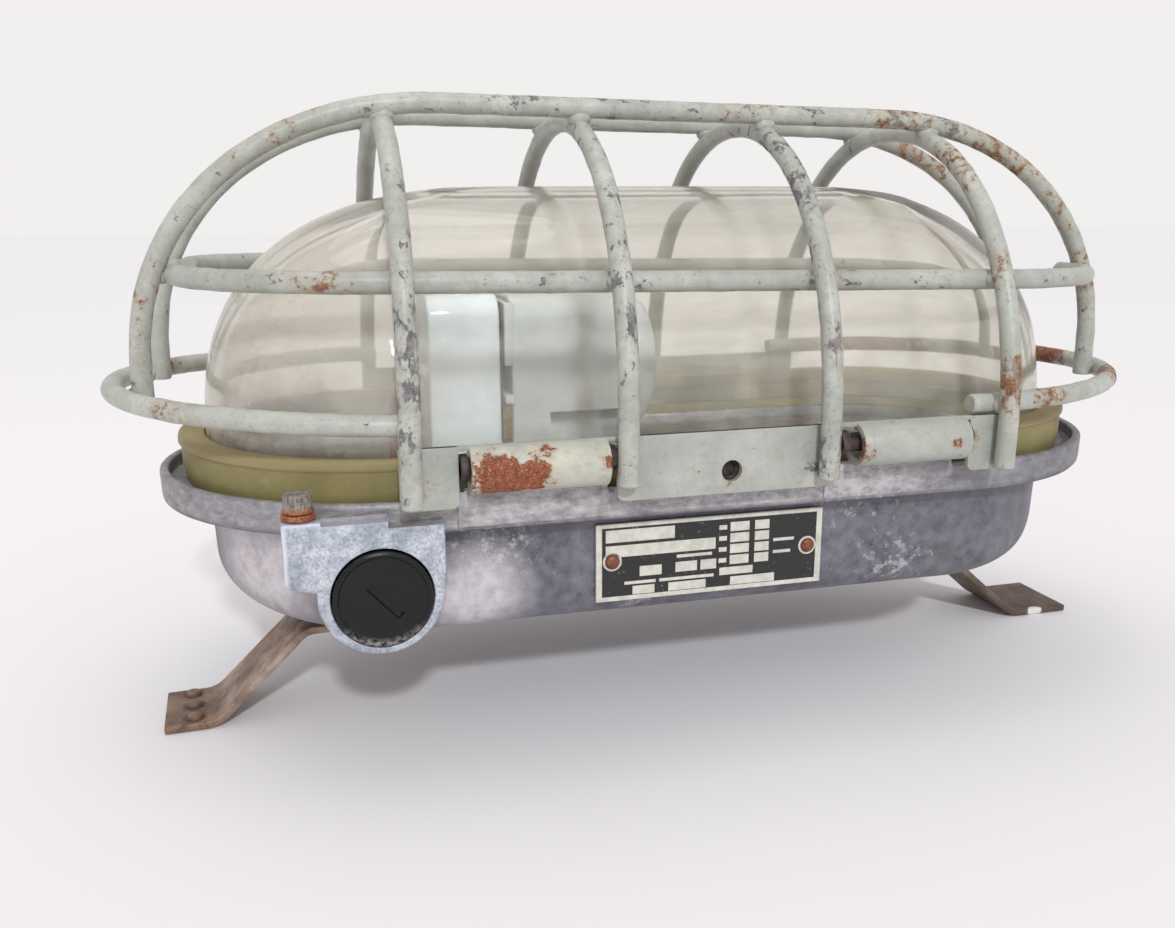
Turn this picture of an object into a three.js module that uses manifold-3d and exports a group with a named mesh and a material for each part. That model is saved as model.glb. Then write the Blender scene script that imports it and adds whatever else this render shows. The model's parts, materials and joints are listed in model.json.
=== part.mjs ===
// Oval bulkhead lamp: cast tray with a hinged wire guard, a clear glass dome on a rubber
// gasket, a ceramic lampholder inside, and two bent strip feet.
// Millimetres, +Z up, the front with the cable boss faces -Y, and the feet stand on z = 0.

import * as THREE from 'three';
import * as BufferGeometryUtils from 'three/addons/utils/BufferGeometryUtils.js';
import Module from 'manifold-3d';

const wasm = await Module();
wasm.setup();

// ---------------------------------------------------------------- driving dimensions

const gap = 0.3;                   // clearance left where separate pieces touch
const originX = 0.21;              // the model's centre line moves by this to centre the whole
const castingX = 0.7;              // middle of the casting, off the middle of the guard

const rodRadius = 2.8;             // guard wire, 5.6 mm

const longHoop = { y: 23.15, halfLength: 148, footZ: 93, springZ: 103, topZ: 172.8,
  corner: 81.1, power: 2.11 };
const crossHoop = { halfWidth: 75.6, springZ: 87, topZ: 170.3, power: 2.13 };
const crossHoopX = [-82.8, -28.1, 28.1, 82.3];
const crossHoopFootZ = [73.9, 76.6, 75.5, 75.9];
const ring = { z: 95.2, hoopZ: 93.2, halfLength: 158.6, halfWidth: 69.7, centre: 78 };
const ringEndX = { left: 80.5, right: 73.5 };
const midBar = { z: 127.25, halfWidth: 61.4, straight: 85, endX: 138.1 };
const lean = { angle: 0.92, pivotZ: 82 };   // the wires stand a little askew on the level strips

const hinge = { y: -71.6, z: 83.4, pinRadius: 2.2, tubeOuter: 5.65, tubeInner: 3.85, earRadius: 3.9 };
const strip = { y: 71.6, thickness: 1.8, topZ: 89.3, webZ: 88.1, left: -85.4, right: 85 };
const knuckles = [{ name: 'left', from: -68.2, to: -32.8 }, { name: 'right', from: 37.6, to: 70.6 }];
const stripSlots = [[-70.7, -29.9], [32, 72.6]];
const stripBottomZ = [73.5, 72.2, 73.5];
const stripHole = { x: 1.5, z: 78.4, radius: 2.9 };
const ears = [[-70.4, -68.5], [-32.5, -31.2], [32.3, 34.7], [70.9, 72.3]];

const body = { halfLength: 135.3, halfWidth: 58.2, straight: 77.7, bottomZ: 34.2,
  sideFillet: 8.4, endFillet: 14, draft: 1.2 };
const rim = { centre: 1.6, halfLength: 149.6, halfWidth: 65, straight: 80,
  bottomZ: 65.2, topZ: 73.9, wall: 2.6, ledgeZ: 76.4 };
const groove = { floorZ: 70, halfLength: 131, halfWidth: 51.8, straight: 80 };
const cavity = { floorZ: 40.5, halfLength: 128.5, halfWidth: 50.4, straight: 80 };
const ovalSegments = 36;
const longHoopSteps = 26;
const crossHoopSteps = 20;

const glass = { halfLength: 135.2, halfWidth: 55.5, straight: 80, baseZ: 73.4, topZ: 152.4, wall: 4,
  shoulderZ: 80, endDrop: 91.5, endPower: 2.57, sidePower: 1.87 };
const gasket = { halfLength: 143, halfWidth: 59.8, straight: 84, bottomZ: 70.3, stepZ: 81, topZ: 84.2 };

const boss = { x: -90.7, z: 52.4, radius: 15.8, frontY: -71, left: -114, right: -74.4,
  shelfZ: 72.3, stepZ: 57.2, notch: [-104.6, -88.5], lowShelf: 1.6 };
const gland = { x: -90.5, z: 51.5, bore: 12.8, plug: 12.5, neck: 8,
  shoulderY: -60, seatY: -62.6, faceY: -72.1, slotTurn: 46 };
const earth = { x: -109.7, y: -66.8, headRadius: 3.6, headHeight: 4.6, washerRadius: 4.2, washer: 1.4 };

const lock = { x: stripHole.x, z: stripHole.z, shank: 2.7, slot: 3.3, nut: 4.2,
  lugInner: 67.4, lugOuter: 70.4 };
const plate = { halfLength: 118, halfWidth: 43, bottomZ: 66.3, thickness: 1.2 };
const posts = [[-98, 24], [98, -24]];
const postRadius = 6.5;
const holder = { axisZ: 98.5, halfWidth: 22, topZ: 121.5, rearFrom: -71.3, rearTo: -50.6,
  frontFrom: -47.2, frontTo: -1.5, bore: 14.9, shellOuter: 14.6, shellInner: 13.4 };
const strap = { thickness: 2.2, topZ: 27.3, padBend: 9, shoulderBend: 6, bossRadius: 9.5 };
const feet = [
  { name: 'left', out: -1, width: 24.8, padEnd: 151.5, bend: 137, shoulder: 110.5, tongueEnd: 70,
    screwX: -86, y: -10, turn: 2.8 },
  { name: 'right', out: 1, width: 26, padEnd: 160.8, bend: 138.5, shoulder: 109.5, tongueEnd: 74,
    screwX: 90, y: 1, turn: 0.4 },
];

const nameplate = { x: 1.7, z: 51.1, width: 67.6, height: 22.4, thickness: 0.6, y: -58.75, tilt: 0.5 };
const rivetX = [-29.2, 29.2];
const earthInside = { x: -60, y: 32 };
const holderScrews = [[-61, -15], [-61, 15]];
const leadHole = { x: -80, y: 0 };
const leadEndZ = [84, 96];
const clipHeight = [79.5, 89.5];
const terminal = { x0: -62, x1: -28, y: 10, height: 13, poles: [-54, -45, -36] };

// ---------------------------------------------------------------- helpers

const toSolid = (geometry) => {
  const bare = geometry.clone();
  bare.deleteAttribute('normal');
  bare.deleteAttribute('uv');
  const merged = BufferGeometryUtils.mergeVertices(bare, 1e-4);
  const vertProperties = new Float32Array(merged.attributes.position.array);
  const triVerts = new Uint32Array(merged.index.array);
  return new wasm.Manifold(new wasm.Mesh({ numProp: 3, vertProperties, triVerts }));
};

const toGeometry = (solid) => {
  const { vertProperties, triVerts } = solid.getMesh();
  const geometry = new THREE.BufferGeometry();
  geometry.setAttribute('position', new THREE.BufferAttribute(vertProperties, 3));
  geometry.setIndex(new THREE.BufferAttribute(triVerts, 1));
  geometry.computeVertexNormals();
  return geometry;
};

const joinAll = (geometries) => geometries.map(toSolid).reduce((whole, part) => whole.add(part));

const cutAll = (whole, geometries) =>
  geometries.reduce((rest, tool) => rest.subtract(toSolid(tool)), whole);

const box = (x0, x1, y0, y1, z0, z1) =>
  new THREE.BoxGeometry(x1 - x0, y1 - y0, z1 - z0)
    .translate((x0 + x1) / 2, (y0 + y1) / 2, (z0 + z1) / 2);

// Cylinder along an axis, from one end's coordinate to the other's, about the two others.
const cylinder = (axis, from, to, radius, a, b, sides = 20) => {
  const geometry = new THREE.CylinderGeometry(radius, radius, to - from, sides);
  const middle = (from + to) / 2;
  if (axis === 'x') return geometry.rotateZ(Math.PI / 2).translate(middle, a, b);
  if (axis === 'y') return geometry.translate(a, middle, b);
  return geometry.rotateX(Math.PI / 2).translate(a, b, middle);
};

// Turned piece about an axis: the profile is a list of [radius, distance along the axis].
const turned = (axis, profile, a, b, sides = 20) => {
  const points = profile.map(([radius, along]) => new THREE.Vector2(radius, along));
  const geometry = new THREE.LatheGeometry(points, sides);
  if (axis === 'y') return geometry.translate(a, 0, b);
  if (axis === 'x') return geometry.rotateZ(-Math.PI / 2).translate(0, a, b);
  return geometry.rotateX(Math.PI / 2).translate(a, b, 0);
};

// Flat outline in two coordinates, given a thickness along the third axis.
const slab = (axis, outline, from, to) => {
  const shape = new THREE.Shape(outline.map(([u, v]) => new THREE.Vector2(u, v)));
  const geometry = new THREE.ExtrudeGeometry(shape, { depth: to - from, bevelEnabled: false });
  if (axis === 'z') return geometry.translate(0, 0, from);
  if (axis === 'y') return geometry.rotateX(Math.PI / 2).translate(0, to, 0);
  return geometry.rotateY(Math.PI / 2).rotateX(Math.PI / 2).translate(from, 0, 0);
};

const arc = (cx, cy, radius, fromDeg, toDeg, steps) => Array.from({ length: steps + 1 }, (_, i) => {
  const angle = THREE.MathUtils.degToRad(fromDeg + (toDeg - fromDeg) * i / steps);
  return [cx + radius * Math.cos(angle), cy + radius * Math.sin(angle)];
});

// Point of an oval with straight sides and elliptical ends, at an angle about its middle.
const ovalPoint = (level, angle) => {
  const end = level.l - level.s;
  return [Math.sign(Math.cos(angle)) * level.s + end * Math.cos(angle), level.w * Math.sin(angle)];
};

// A lathe whose rings are drawn out into ovals. Each level is { l, w, s, z }: half length,
// half width, half length of the straight side and height; its middle is the casting's unless
// it has its own. A level with l = 0 is on the axis.
const ovalLathe = (levels, segments = ovalSegments) => {
  const points = levels.map(({ l, z }) => new THREE.Vector2(l, z));
  const geometry = new THREE.LatheGeometry(points, segments, Math.PI / segments);
  const position = geometry.attributes.position;
  for (let i = 0; i < position.count; i++) {
    const level = levels[i % levels.length];
    const turn = Math.PI / segments + 2 * Math.PI * (Math.floor(i / levels.length) % segments) / segments;
    const [x, y] = level.l === 0 ? [0, 0] : ovalPoint(level, turn);
    position.setXYZ(i, x + (level.centre ?? castingX), y, level.z);
  }
  return geometry;
};

const superArc = (t, power) => {
  const angle = t * Math.PI / 2;
  return [Math.cos(angle) ** (2 / power), Math.sin(angle) ** (2 / power)];
};

// Half of an arch, from its foot to the middle: [distance from the middle, height].
const archHalf = ({ half, corner, footZ, springZ, topZ, power }, cornerSteps) => {
  const points = [[half, footZ], [half, (footZ + springZ) / 2]];
  for (let i = 0; i <= cornerSteps; i++) {
    const [across, up] = superArc(i / cornerSteps, power);
    points.push([half - corner + corner * across, springZ + (topZ - springZ) * up]);
  }
  return points;
};

const arch = (spec, cornerSteps, place) => {
  const half = archHalf(spec, cornerSteps);
  const left = half.map(([across, z]) => place(-across, z));
  const right = half.map(([across, z]) => place(across, z)).reverse();
  const whole = spec.corner < spec.half ? [...left, ...right] : [...left, ...right.slice(1)];
  return new THREE.CatmullRomCurve3(whole, false, 'centripetal');
};

// Round wire along a curve.
const wire = (curve, steps, radius = rodRadius, sides = 8) => {
  const outline = arc(0, 0, radius, 0, 360, sides).slice(0, sides);
  const section = new THREE.Shape(outline.map(([u, v]) => new THREE.Vector2(u, v)));
  return new THREE.ExtrudeGeometry(section, { steps, extrudePath: curve, bevelEnabled: false });
};

const lamp = new THREE.Group();
const frame = new THREE.Group();
frame.position.x = -originX;
lamp.add(frame);

const finishes = {
  casting: { color: 0x8b8a92, roughness: 0.6, metalness: 0.7 },
  guardPaint: { color: 0xbcc2b8, roughness: 0.5, metalness: 0.1 },
  rustySteel: { color: 0x6f5340, roughness: 0.8, metalness: 0.5 },
  zincSteel: { color: 0x9a9a96, roughness: 0.5, metalness: 0.8 },
  brass: { color: 0xa98a4a, roughness: 0.4, metalness: 0.9 },
  gasketRubber: { color: 0x92885c, roughness: 0.7, metalness: 0 },
  blackPlastic: { color: 0x29272a, roughness: 0.3, metalness: 0 },
  blackRubber: { color: 0x201f20, roughness: 0.8, metalness: 0 },
  ceramic: { color: 0xd7d8d4, roughness: 0.3, metalness: 0 },
  clearGlass: { color: 0xdfe6df, roughness: 0.05, metalness: 0, transparent: true, opacity: 0.35 },
  whiteEnamel: { color: 0xc9c7c2, roughness: 0.4, metalness: 0.1 },
  nameplate: { color: 0x2a2a2c, roughness: 0.4, metalness: 0.4 },
  leadInsulation: { color: 0x7a4a34, roughness: 0.6, metalness: 0 },
};

const piece = (name, finish, shape) => {
  const geometry = shape.isBufferGeometry ? shape : toGeometry(shape);
  const mesh = new THREE.Mesh(geometry, new THREE.MeshStandardMaterial(finishes[finish]));
  mesh.name = name;
  frame.add(mesh);
  return mesh;
};

// ---------------------------------------------------------------- cast housing

const bodyLevel = (z, top) => {
  const rise = z - body.bottomZ;
  const inset = (radius) => (rise >= radius ? 0 : radius - Math.sqrt(radius ** 2 - (radius - rise) ** 2));
  const draft = body.draft * (top - z) / (top - body.bottomZ);
  return { l: body.halfLength - inset(body.endFillet) - draft,
    w: body.halfWidth - inset(body.sideFillet) - draft, s: body.straight, z };
};

const housing = () => {
  const fillets = [0, 0.8, 2.4, 5, 8.4, 14].map((rise) => bodyLevel(body.bottomZ + rise, rim.bottomZ));
  const rimLevel = (inset, z) => ({ l: rim.halfLength - inset, w: rim.halfWidth - inset, s: rim.straight, z,
    centre: rim.centre });
  const tray = ovalLathe([
    { l: 0, w: 0, s: 0, z: body.bottomZ },
    ...fillets,
    bodyLevel(rim.bottomZ - 0.6, rim.bottomZ),
    rimLevel(1.6, rim.bottomZ),
    rimLevel(0, rim.bottomZ + 1.8),
    rimLevel(0, rim.topZ - 0.9),
    rimLevel(0.8, rim.topZ),
    rimLevel(rim.wall, rim.topZ),
    rimLevel(rim.wall, groove.floorZ),
    { l: groove.halfLength, w: groove.halfWidth, s: groove.straight, z: groove.floorZ },
    { l: cavity.halfLength, w: cavity.halfWidth, s: cavity.straight, z: cavity.floorZ + 6 },
    { l: cavity.halfLength - 5, w: cavity.halfWidth - 5, s: cavity.straight - 2, z: cavity.floorZ },
    { l: 0, w: 0, s: 0, z: cavity.floorZ },
  ]);

  const wallY = -body.halfWidth + 20;
  const bossParts = joinAll([
    cylinder('y', boss.frontY, wallY, boss.radius, boss.x, boss.z, 32),
    slab('y', [
      [boss.left, boss.stepZ], [boss.left + 1.2, boss.stepZ - 1.6], [boss.left + 6.4, boss.stepZ - 3],
      [boss.x - 13, boss.z - 4], [boss.x, boss.z], [boss.right, boss.z],
      [boss.right, rim.bottomZ], [boss.left, rim.bottomZ],
    ], boss.frontY, wallY),
    box(boss.left, boss.right, boss.frontY, wallY, rim.bottomZ - 1, boss.shelfZ),
  ]);
  const insideOfBody = [body.bottomZ - 1, rim.bottomZ - 2].map((z) =>
    ({ l: cavity.halfLength + 2, w: cavity.halfWidth + 2, s: cavity.straight, z }));
  const insideOfRim = [rim.bottomZ - 2, rim.topZ + 1].map((z) =>
    ({ l: rim.halfLength - 1.3, w: rim.halfWidth - 1.3, s: rim.straight, z, centre: rim.centre }));
  const bossFree = cutAll(bossParts, [insideOfBody, insideOfRim].map((pair) =>
    ovalLathe([{ l: 0, z: pair[0].z }, ...pair, { l: 0, z: pair[1].z }])));

  const earNose = arc(hinge.y, hinge.z, hinge.earRadius, 20, 215, 10);
  const earRoot = -rim.halfWidth + 1.2;
  const earFootZ = rim.bottomZ + 1.4;
  const earOutline = [...earNose, [-rim.halfWidth - 2.6, rim.topZ], [-rim.halfWidth - 1, earFootZ],
    [earRoot, earFootZ], [earRoot, rim.topZ - 1]];
  const earParts = ears.map(([from, to]) => slab('x', earOutline, from, to));
  const ledges = [[ears[0][0], ears[1][1]], [ears[2][0], ears[3][1]]].map(([from, to]) =>
    box(from, to, -rim.halfWidth - 1.2, -rim.halfWidth + rim.wall - 0.2, earFootZ, rim.ledgeZ));

  const fork = [
    box(lock.x - 8, lock.x + 8, rim.halfWidth - 1.2, lock.lugOuter, rim.bottomZ + 0.6, 72.6),
    box(lock.x - 8, lock.x + 8, lock.lugInner, lock.lugOuter, 72, lock.z + 5),
  ];
  const postParts = posts.map(([x, y]) =>
    cylinder('z', cavity.floorZ - 1, plate.bottomZ - gap, postRadius, x, y, 14));
  const footBosses = feet.flatMap(({ screwX, y }) => [
    cylinder('z', cavity.floorZ - 1, cavity.floorZ + 5, 6, screwX, y, 14),
    cylinder('z', strap.topZ + gap, body.bottomZ + 1, strap.bossRadius, screwX, y, 20)]);
  const terminalSeat = box(-64, -26, -14, 14, cavity.floorZ - 1, cavity.floorZ + 2.2);

  const whole = [...earParts, ...ledges, ...fork, ...postParts, ...footBosses, terminalSeat]
    .reduce((sum, part) => sum.add(toSolid(part)), toSolid(tray).add(bossFree));

  return cutAll(whole, [
    cylinder('y', boss.frontY - 1, gland.shoulderY, gland.bore, gland.x, gland.z, 28),
    cylinder('y', gland.shoulderY - 1, -cavity.halfWidth + 2, gland.neck + 1, gland.x, gland.z, 20),
    box(...boss.notch, boss.frontY - 1, boss.frontY + 3.4, boss.shelfZ - 1.1, boss.shelfZ + 1),
    box(boss.notch[1], boss.right + 1, boss.frontY - 1, -rim.halfWidth - 0.6,
      boss.shelfZ - boss.lowShelf, boss.shelfZ + 1),
    cylinder('z', boss.shelfZ - 6, boss.shelfZ + 1, 2.5 + gap, earth.x, earth.y, 12),
    box(lock.x - lock.slot, lock.x + lock.slot, lock.lugInner - 1, lock.lugOuter + 1,
      lock.z, lock.z + 6),
    cylinder('y', lock.lugInner - 1, lock.lugOuter + 1, lock.slot, lock.x, lock.z, 16),
    ...ears.map(([from, to]) =>
      cylinder('x', from - 0.2, to + 0.2, hinge.pinRadius + gap, hinge.y, hinge.z, 12)),
    ...posts.map(([x, y]) =>
      cylinder('z', plate.bottomZ - 12, plate.bottomZ + 1, 2 + gap, x, y, 10)),
    ...feet.map(({ screwX, y }) =>
      cylinder('z', strap.topZ - 1, body.bottomZ + 7.5, 2.5 + gap, screwX, y, 10)),
    cylinder('z', cavity.floorZ - 2.5, cavity.floorZ + 3, 2 + gap, earthInside.x, earthInside.y, 10),
  ]);
};

// ---------------------------------------------------------------- feet

// Outline of a bent strip round a centre line, with an arc of the given radius at each bend.
const bentStrip = (corners, radii, thickness) => {
  const line = [corners[0]];
  for (let i = 1; i < corners.length - 1; i++) {
    const here = new THREE.Vector2(...corners[i]);
    const back = new THREE.Vector2(...corners[i - 1]).sub(here).normalize();
    const ahead = new THREE.Vector2(...corners[i + 1]).sub(here).normalize();
    const halfAngle = Math.acos(back.dot(ahead)) / 2;
    const toMiddle = back.clone().add(ahead).setLength(radii[i - 1] / Math.sin(halfAngle));
    const middle = here.clone().add(toMiddle);
    const setback = radii[i - 1] / Math.tan(halfAngle);
    const from = here.clone().addScaledVector(back, setback).sub(middle);
    const to = here.clone().addScaledVector(ahead, setback).sub(middle);
    for (let k = 0; k <= 5; k++) {
      const point = from.clone().lerp(to, k / 5).setLength(radii[i - 1]).add(middle);
      line.push([point.x, point.y]);
    }
  }
  line.push(corners[corners.length - 1]);
  const side = (sign) => line.map(([x, z], i) => {
    const [x0, z0] = line[Math.max(i - 1, 0)];
    const [x1, z1] = line[Math.min(i + 1, line.length - 1)];
    const length = Math.hypot(x1 - x0, z1 - z0);
    return [x - sign * (z1 - z0) / length * thickness / 2, z + sign * (x1 - x0) / length * thickness / 2];
  });
  return [...side(1), ...side(-1).reverse()];
};

// A bent strip: pad on the ground, slanted leg, flat tongue under the body. `out` is -1 or 1.
const footOutline = ({ padEnd, bend, shoulder, tongueEnd }) => {
  const low = strap.thickness / 2;
  const high = strap.topZ - strap.thickness / 2;
  return bentStrip([[padEnd, low], [bend, low], [shoulder, high], [tongueEnd, high]],
    [strap.padBend, strap.shoulderBend], strap.thickness);
};

const makeFoot = (foot) => {
  const outline = footOutline(foot).map(([x, z]) => [foot.out * x, z]);
  const half = foot.width / 2;
  const angle = THREE.MathUtils.degToRad(foot.turn);
  const blank = slab('y', outline, -half, half);
  const screwHole = cylinder('z', strap.topZ - 4, strap.topZ + 1, 2.5 + gap, foot.screwX, 0, 12);
  const cut = cutAll(toSolid(blank), [screwHole]);
  return toGeometry(cut).translate(-foot.screwX, 0, 0).rotateZ(angle).translate(foot.screwX, foot.y, 0);
};

const footScrew = ({ screwX, y }) => {
  const underside = strap.topZ - strap.thickness - gap;
  return turned('z', [[0, underside - 3], [3.4, underside - 3], [4.6, underside - 1.6], [4.6, underside],
    [2.5, underside], [2.5, body.bottomZ + 6.5], [0, body.bottomZ + 6.5]], screwX, y, 12);
};

piece('housing', 'casting', housing());
for (const foot of feet) {
  piece(`foot_${foot.name}`, 'rustySteel', makeFoot(foot));
  piece(`foot_screw_${foot.name}`, 'zincSteel', footScrew(foot));
}

// ---------------------------------------------------------------- nameplate

const onNameplate = (geometry) => geometry
  .rotateX(THREE.MathUtils.degToRad(nameplate.tilt)).translate(nameplate.x, nameplate.y, nameplate.z);

const plateBlank = box(-nameplate.width / 2, nameplate.width / 2,
  -nameplate.thickness / 2, nameplate.thickness / 2, -nameplate.height / 2, nameplate.height / 2);
piece('nameplate', 'nameplate', onNameplate(plateBlank));
rivetX.forEach((x, i) => {
  const top = -nameplate.thickness / 2 - gap;
  const rivet = turned('y', [[0, top - 1.1], [1.3, top - 0.9], [2.1, top - 0.3], [2.1, top], [0, top]], x, 0, 12);
  piece(`nameplate_rivet_${i + 1}`, 'brass', onNameplate(rivet));
});

// ---------------------------------------------------------------- gasket and glass

const glassOuterLevel = (u) => {
  const side = (1 - u ** glass.sidePower) ** (1 / glass.sidePower);
  const end = (1 - u ** glass.endPower) ** (1 / glass.endPower);
  return { side, end };
};

const glassShell = (offset, steps) => Array.from({ length: steps + 1 }, (_, i) => {
  const u = Math.sin((i / steps) * Math.PI / 2);
  const { side, end } = glassOuterLevel(Math.min(u, 0.9985));
  const height = glass.topZ - offset - glass.shoulderZ;
  const l = glass.halfLength - glass.endDrop * (1 - end) - offset;
  const w = (glass.halfWidth - offset) * side;
  const s = Math.min(glass.straight, l - (l - glass.straight + 8) * side * 0.98);
  return { l, w, s, z: glass.shoulderZ + height * u };
});

const glassDome = () => {
  const outside = glassShell(0, 9);
  const inside = glassShell(glass.wall, 7).reverse();
  const flange = (out, z) => ({ l: glass.halfLength + out, w: glass.halfWidth + out, s: glass.straight, z });
  return ovalLathe([
    { l: 0, w: 0, s: 0, z: glass.topZ - glass.wall - 0.3 },
    ...inside,
    flange(-glass.wall, glass.baseZ),
    flange(1.2, glass.baseZ),
    flange(1.2, 78.4),
    flange(0, 78.9),
    ...outside,
    { l: 0, w: 0, s: 0, z: glass.topZ },
  ]);
};

const makeGasket = () => {
  const outer = (inset, z) => ({ l: gasket.halfLength - inset, w: gasket.halfWidth - inset * 0.6,
    s: gasket.straight, z });
  const glassSide = (out, z) => ({ l: glass.halfLength + out, w: glass.halfWidth + out,
    s: glass.straight, z });
  const levels = [
    glassSide(-glass.wall, gasket.bottomZ), outer(2, gasket.bottomZ),
    outer(0.9, gasket.stepZ - 6), outer(0.9, gasket.stepZ),
    outer(0, gasket.stepZ + 0.5), outer(0.3, gasket.topZ - 0.8), outer(3, gasket.topZ),
    glassSide(gap, gasket.topZ - 0.6), glassSide(gap, 79.2), glassSide(1.5, 78.7), glassSide(1.5, 73.1),
    glassSide(-glass.wall, 73.1),
  ];
  return ovalLathe([...levels, levels[0]]);
};

piece('glass_dome', 'clearGlass', glassDome());
piece('gasket', 'gasketRubber', makeGasket());

// ---------------------------------------------------------------- gland plug and outer earth screw

const plugSlot = box(-6.2, 6.2, -1.5, 1.5, -1.1, 1.1)
  .rotateY(THREE.MathUtils.degToRad(gland.slotTurn)).translate(gland.x, gland.faceY - 0.2, gland.z);
const plugBlank = turned('y', [[0, gland.faceY - 0.6], [gland.plug * 0.6, gland.faceY - 0.4],
  [gland.plug - 0.8, gland.faceY], [gland.plug, gland.faceY + 0.7], [gland.plug, gland.seatY],
  [gland.neck, gland.seatY], [gland.neck, gland.shoulderY + 2], [0, gland.shoulderY + 2]],
gland.x, gland.z, 28);
piece('gland_plug', 'blackPlastic', cutAll(toSolid(plugBlank), [plugSlot]));

const ringAboutY = (inner, outer, from, to, x, z, sides = 24) => cutAll(
  toSolid(cylinder('y', from, to, outer, x, z, sides)), [cylinder('y', from - 1, to + 1, inner, x, z, sides)]);
piece('gland_seal', 'blackRubber',
  ringAboutY(gland.neck + gap, gland.plug, gland.seatY + gap, gland.shoulderY - gap, gland.x, gland.z));

const shelf = boss.shelfZ;
const washerTop = shelf + gap + earth.washer;
piece('earth_washer', 'rustySteel', cutAll(
  toSolid(cylinder('z', shelf + gap, washerTop, earth.washerRadius, earth.x, earth.y, 16)),
  [cylinder('z', shelf, washerTop + 1, 2.5 + gap, earth.x, earth.y, 12)]));
const earthHeadZ = washerTop + gap;
const earthBlank = turned('z', [
  [0, shelf - 5.2], [2.5, shelf - 5.2], [2.5, earthHeadZ], [earth.headRadius, earthHeadZ],
  [earth.headRadius, earthHeadZ + earth.headHeight - 0.6], [earth.headRadius - 0.7, earthHeadZ + earth.headHeight],
  [0, earthHeadZ + earth.headHeight]], earth.x, earth.y, 14);
const earthSlot = box(earth.x - 5, earth.x + 5, earth.y - 0.6, earth.y + 0.6,
  earthHeadZ + earth.headHeight - 1.6, earthHeadZ + earth.headHeight + 1);
piece('earth_screw', 'rustySteel', cutAll(toSolid(earthBlank), [earthSlot]));

// ---------------------------------------------------------------- guard wires

// A point of the guard's wires, turned about the Y axis by the guard's lean.
const leaned = (x, y, z) => {
  const angle = THREE.MathUtils.degToRad(lean.angle);
  const rise = z - lean.pivotZ;
  return new THREE.Vector3(x * Math.cos(angle) + rise * Math.sin(angle), y,
    lean.pivotZ - x * Math.sin(angle) + rise * Math.cos(angle));
};

const longHoopCurve = (side) => arch({ ...longHoop, half: longHoop.halfLength }, 14,
  (x, z) => leaned(x, side * longHoop.y, z));

const crossHoopCurve = (i) => arch(
  { ...crossHoop, half: crossHoop.halfWidth, corner: crossHoop.halfWidth, footZ: crossHoopFootZ[i] }, 14,
  (y, z) => leaned(crossHoopX[i], y, z));

const longSides = [['front', -1], ['back', 1]];
const longHoops = longSides.map(([name, side]) => ({ name, curve: longHoopCurve(side) }));
longHoops.forEach(({ name, curve }) => piece(`guard_long_hoop_${name}`, 'guardPaint', wire(curve, longHoopSteps)));

const crossHoopSolids = crossHoopX.map((x, i) => cutAll(toSolid(wire(crossHoopCurve(i), crossHoopSteps)),
  longHoops.map(({ curve }) => wire(curve, longHoopSteps, rodRadius + gap))));
crossHoopSolids.forEach((solid, i) => piece(`guard_cross_hoop_${i + 1}`, 'guardPaint', solid));

// The bottom ring is two bent rods, one round each end, inside the legs of the outer hoops.
const ringCurve = (side, endX) => {
  const reach = ring.halfLength - ring.centre;
  const place = (x, y, z) => ({ x, place: leaned(side * x, y, z) });
  const points = [];
  for (const y of [-1, 1]) {
    const quarter = Array.from({ length: 13 }, (_, i) => {
      const angle = (i / 12) * Math.PI / 2;
      const fall = (ring.z - ring.hoopZ) * (1 - Math.sin(angle));
      return place(ring.centre + reach * Math.sin(angle), y * ring.halfWidth * Math.cos(angle), ring.z - fall);
    });
    const start = place(endX, y * ring.halfWidth, ring.hoopZ);
    const run = [start, ...quarter.filter(({ x }) => x > endX + 0.1)];
    points.push(...(y < 0 ? run : run.slice(0, -1).reverse()));
  }
  return new THREE.CatmullRomCurve3(points.map((point) => point.place), false, 'centripetal');
};
const hoopLegs = (radius) => crossHoopX.map((x, i) => wire(crossHoopCurve(i), crossHoopSteps, radius));
const legCutters = hoopLegs(rodRadius + gap);
const longCutters = longHoops.map(({ curve }) => wire(curve, longHoopSteps, rodRadius + gap));

for (const [name, side] of [['left', -1], ['right', 1]]) {
  const blank = toSolid(wire(ringCurve(side, ringEndX[name]), 22));
  piece(`guard_ring_${name}`, 'guardPaint', cutAll(blank, [...legCutters, ...longCutters]));
}

// The waist rods run along the sides and end on the inside of the long hoops' legs.
const midBarCurve = (side) => {
  const endY = longHoop.y - 4;
  const length = midBar.endX - midBar.straight;
  const half = Array.from({ length: 9 }, (_, i) => {
    const angle = (i / 8) * Math.PI / 2;
    return [midBar.straight + length * Math.cos(angle), endY + (midBar.halfWidth - endY) * Math.sin(angle)];
  });
  const left = half.map(([x, y]) => leaned(-x, side * y, midBar.z));
  const right = half.map(([x, y]) => leaned(x, side * y, midBar.z)).reverse();
  return new THREE.CatmullRomCurve3([...left, ...right], false, 'centripetal');
};
for (const [name, side] of longSides) {
  const blank = toSolid(wire(midBarCurve(side), 18));
  piece(`guard_side_rod_${name}`, 'guardPaint', cutAll(blank, [...legCutters, ...longCutters]));
}

// ---------------------------------------------------------------- guard strips and hinge

const holeCutter = (side, radius) =>
  cylinder('y', side * strip.y - 3, side * strip.y + 3, radius, stripHole.x, stripHole.z, 16);

// Knuckle: the strip rolled out round the pin, from its top edge round the front and up behind.
const knuckle = ({ from, to }) => {
  const outside = arc(hinge.y, hinge.z, hinge.tubeOuter, 75, 400, 14);
  const inside = arc(hinge.y, hinge.z, hinge.tubeInner, 75, 400, 12).reverse();
  return slab('x', [...outside, ...inside], from, to);
};

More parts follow.
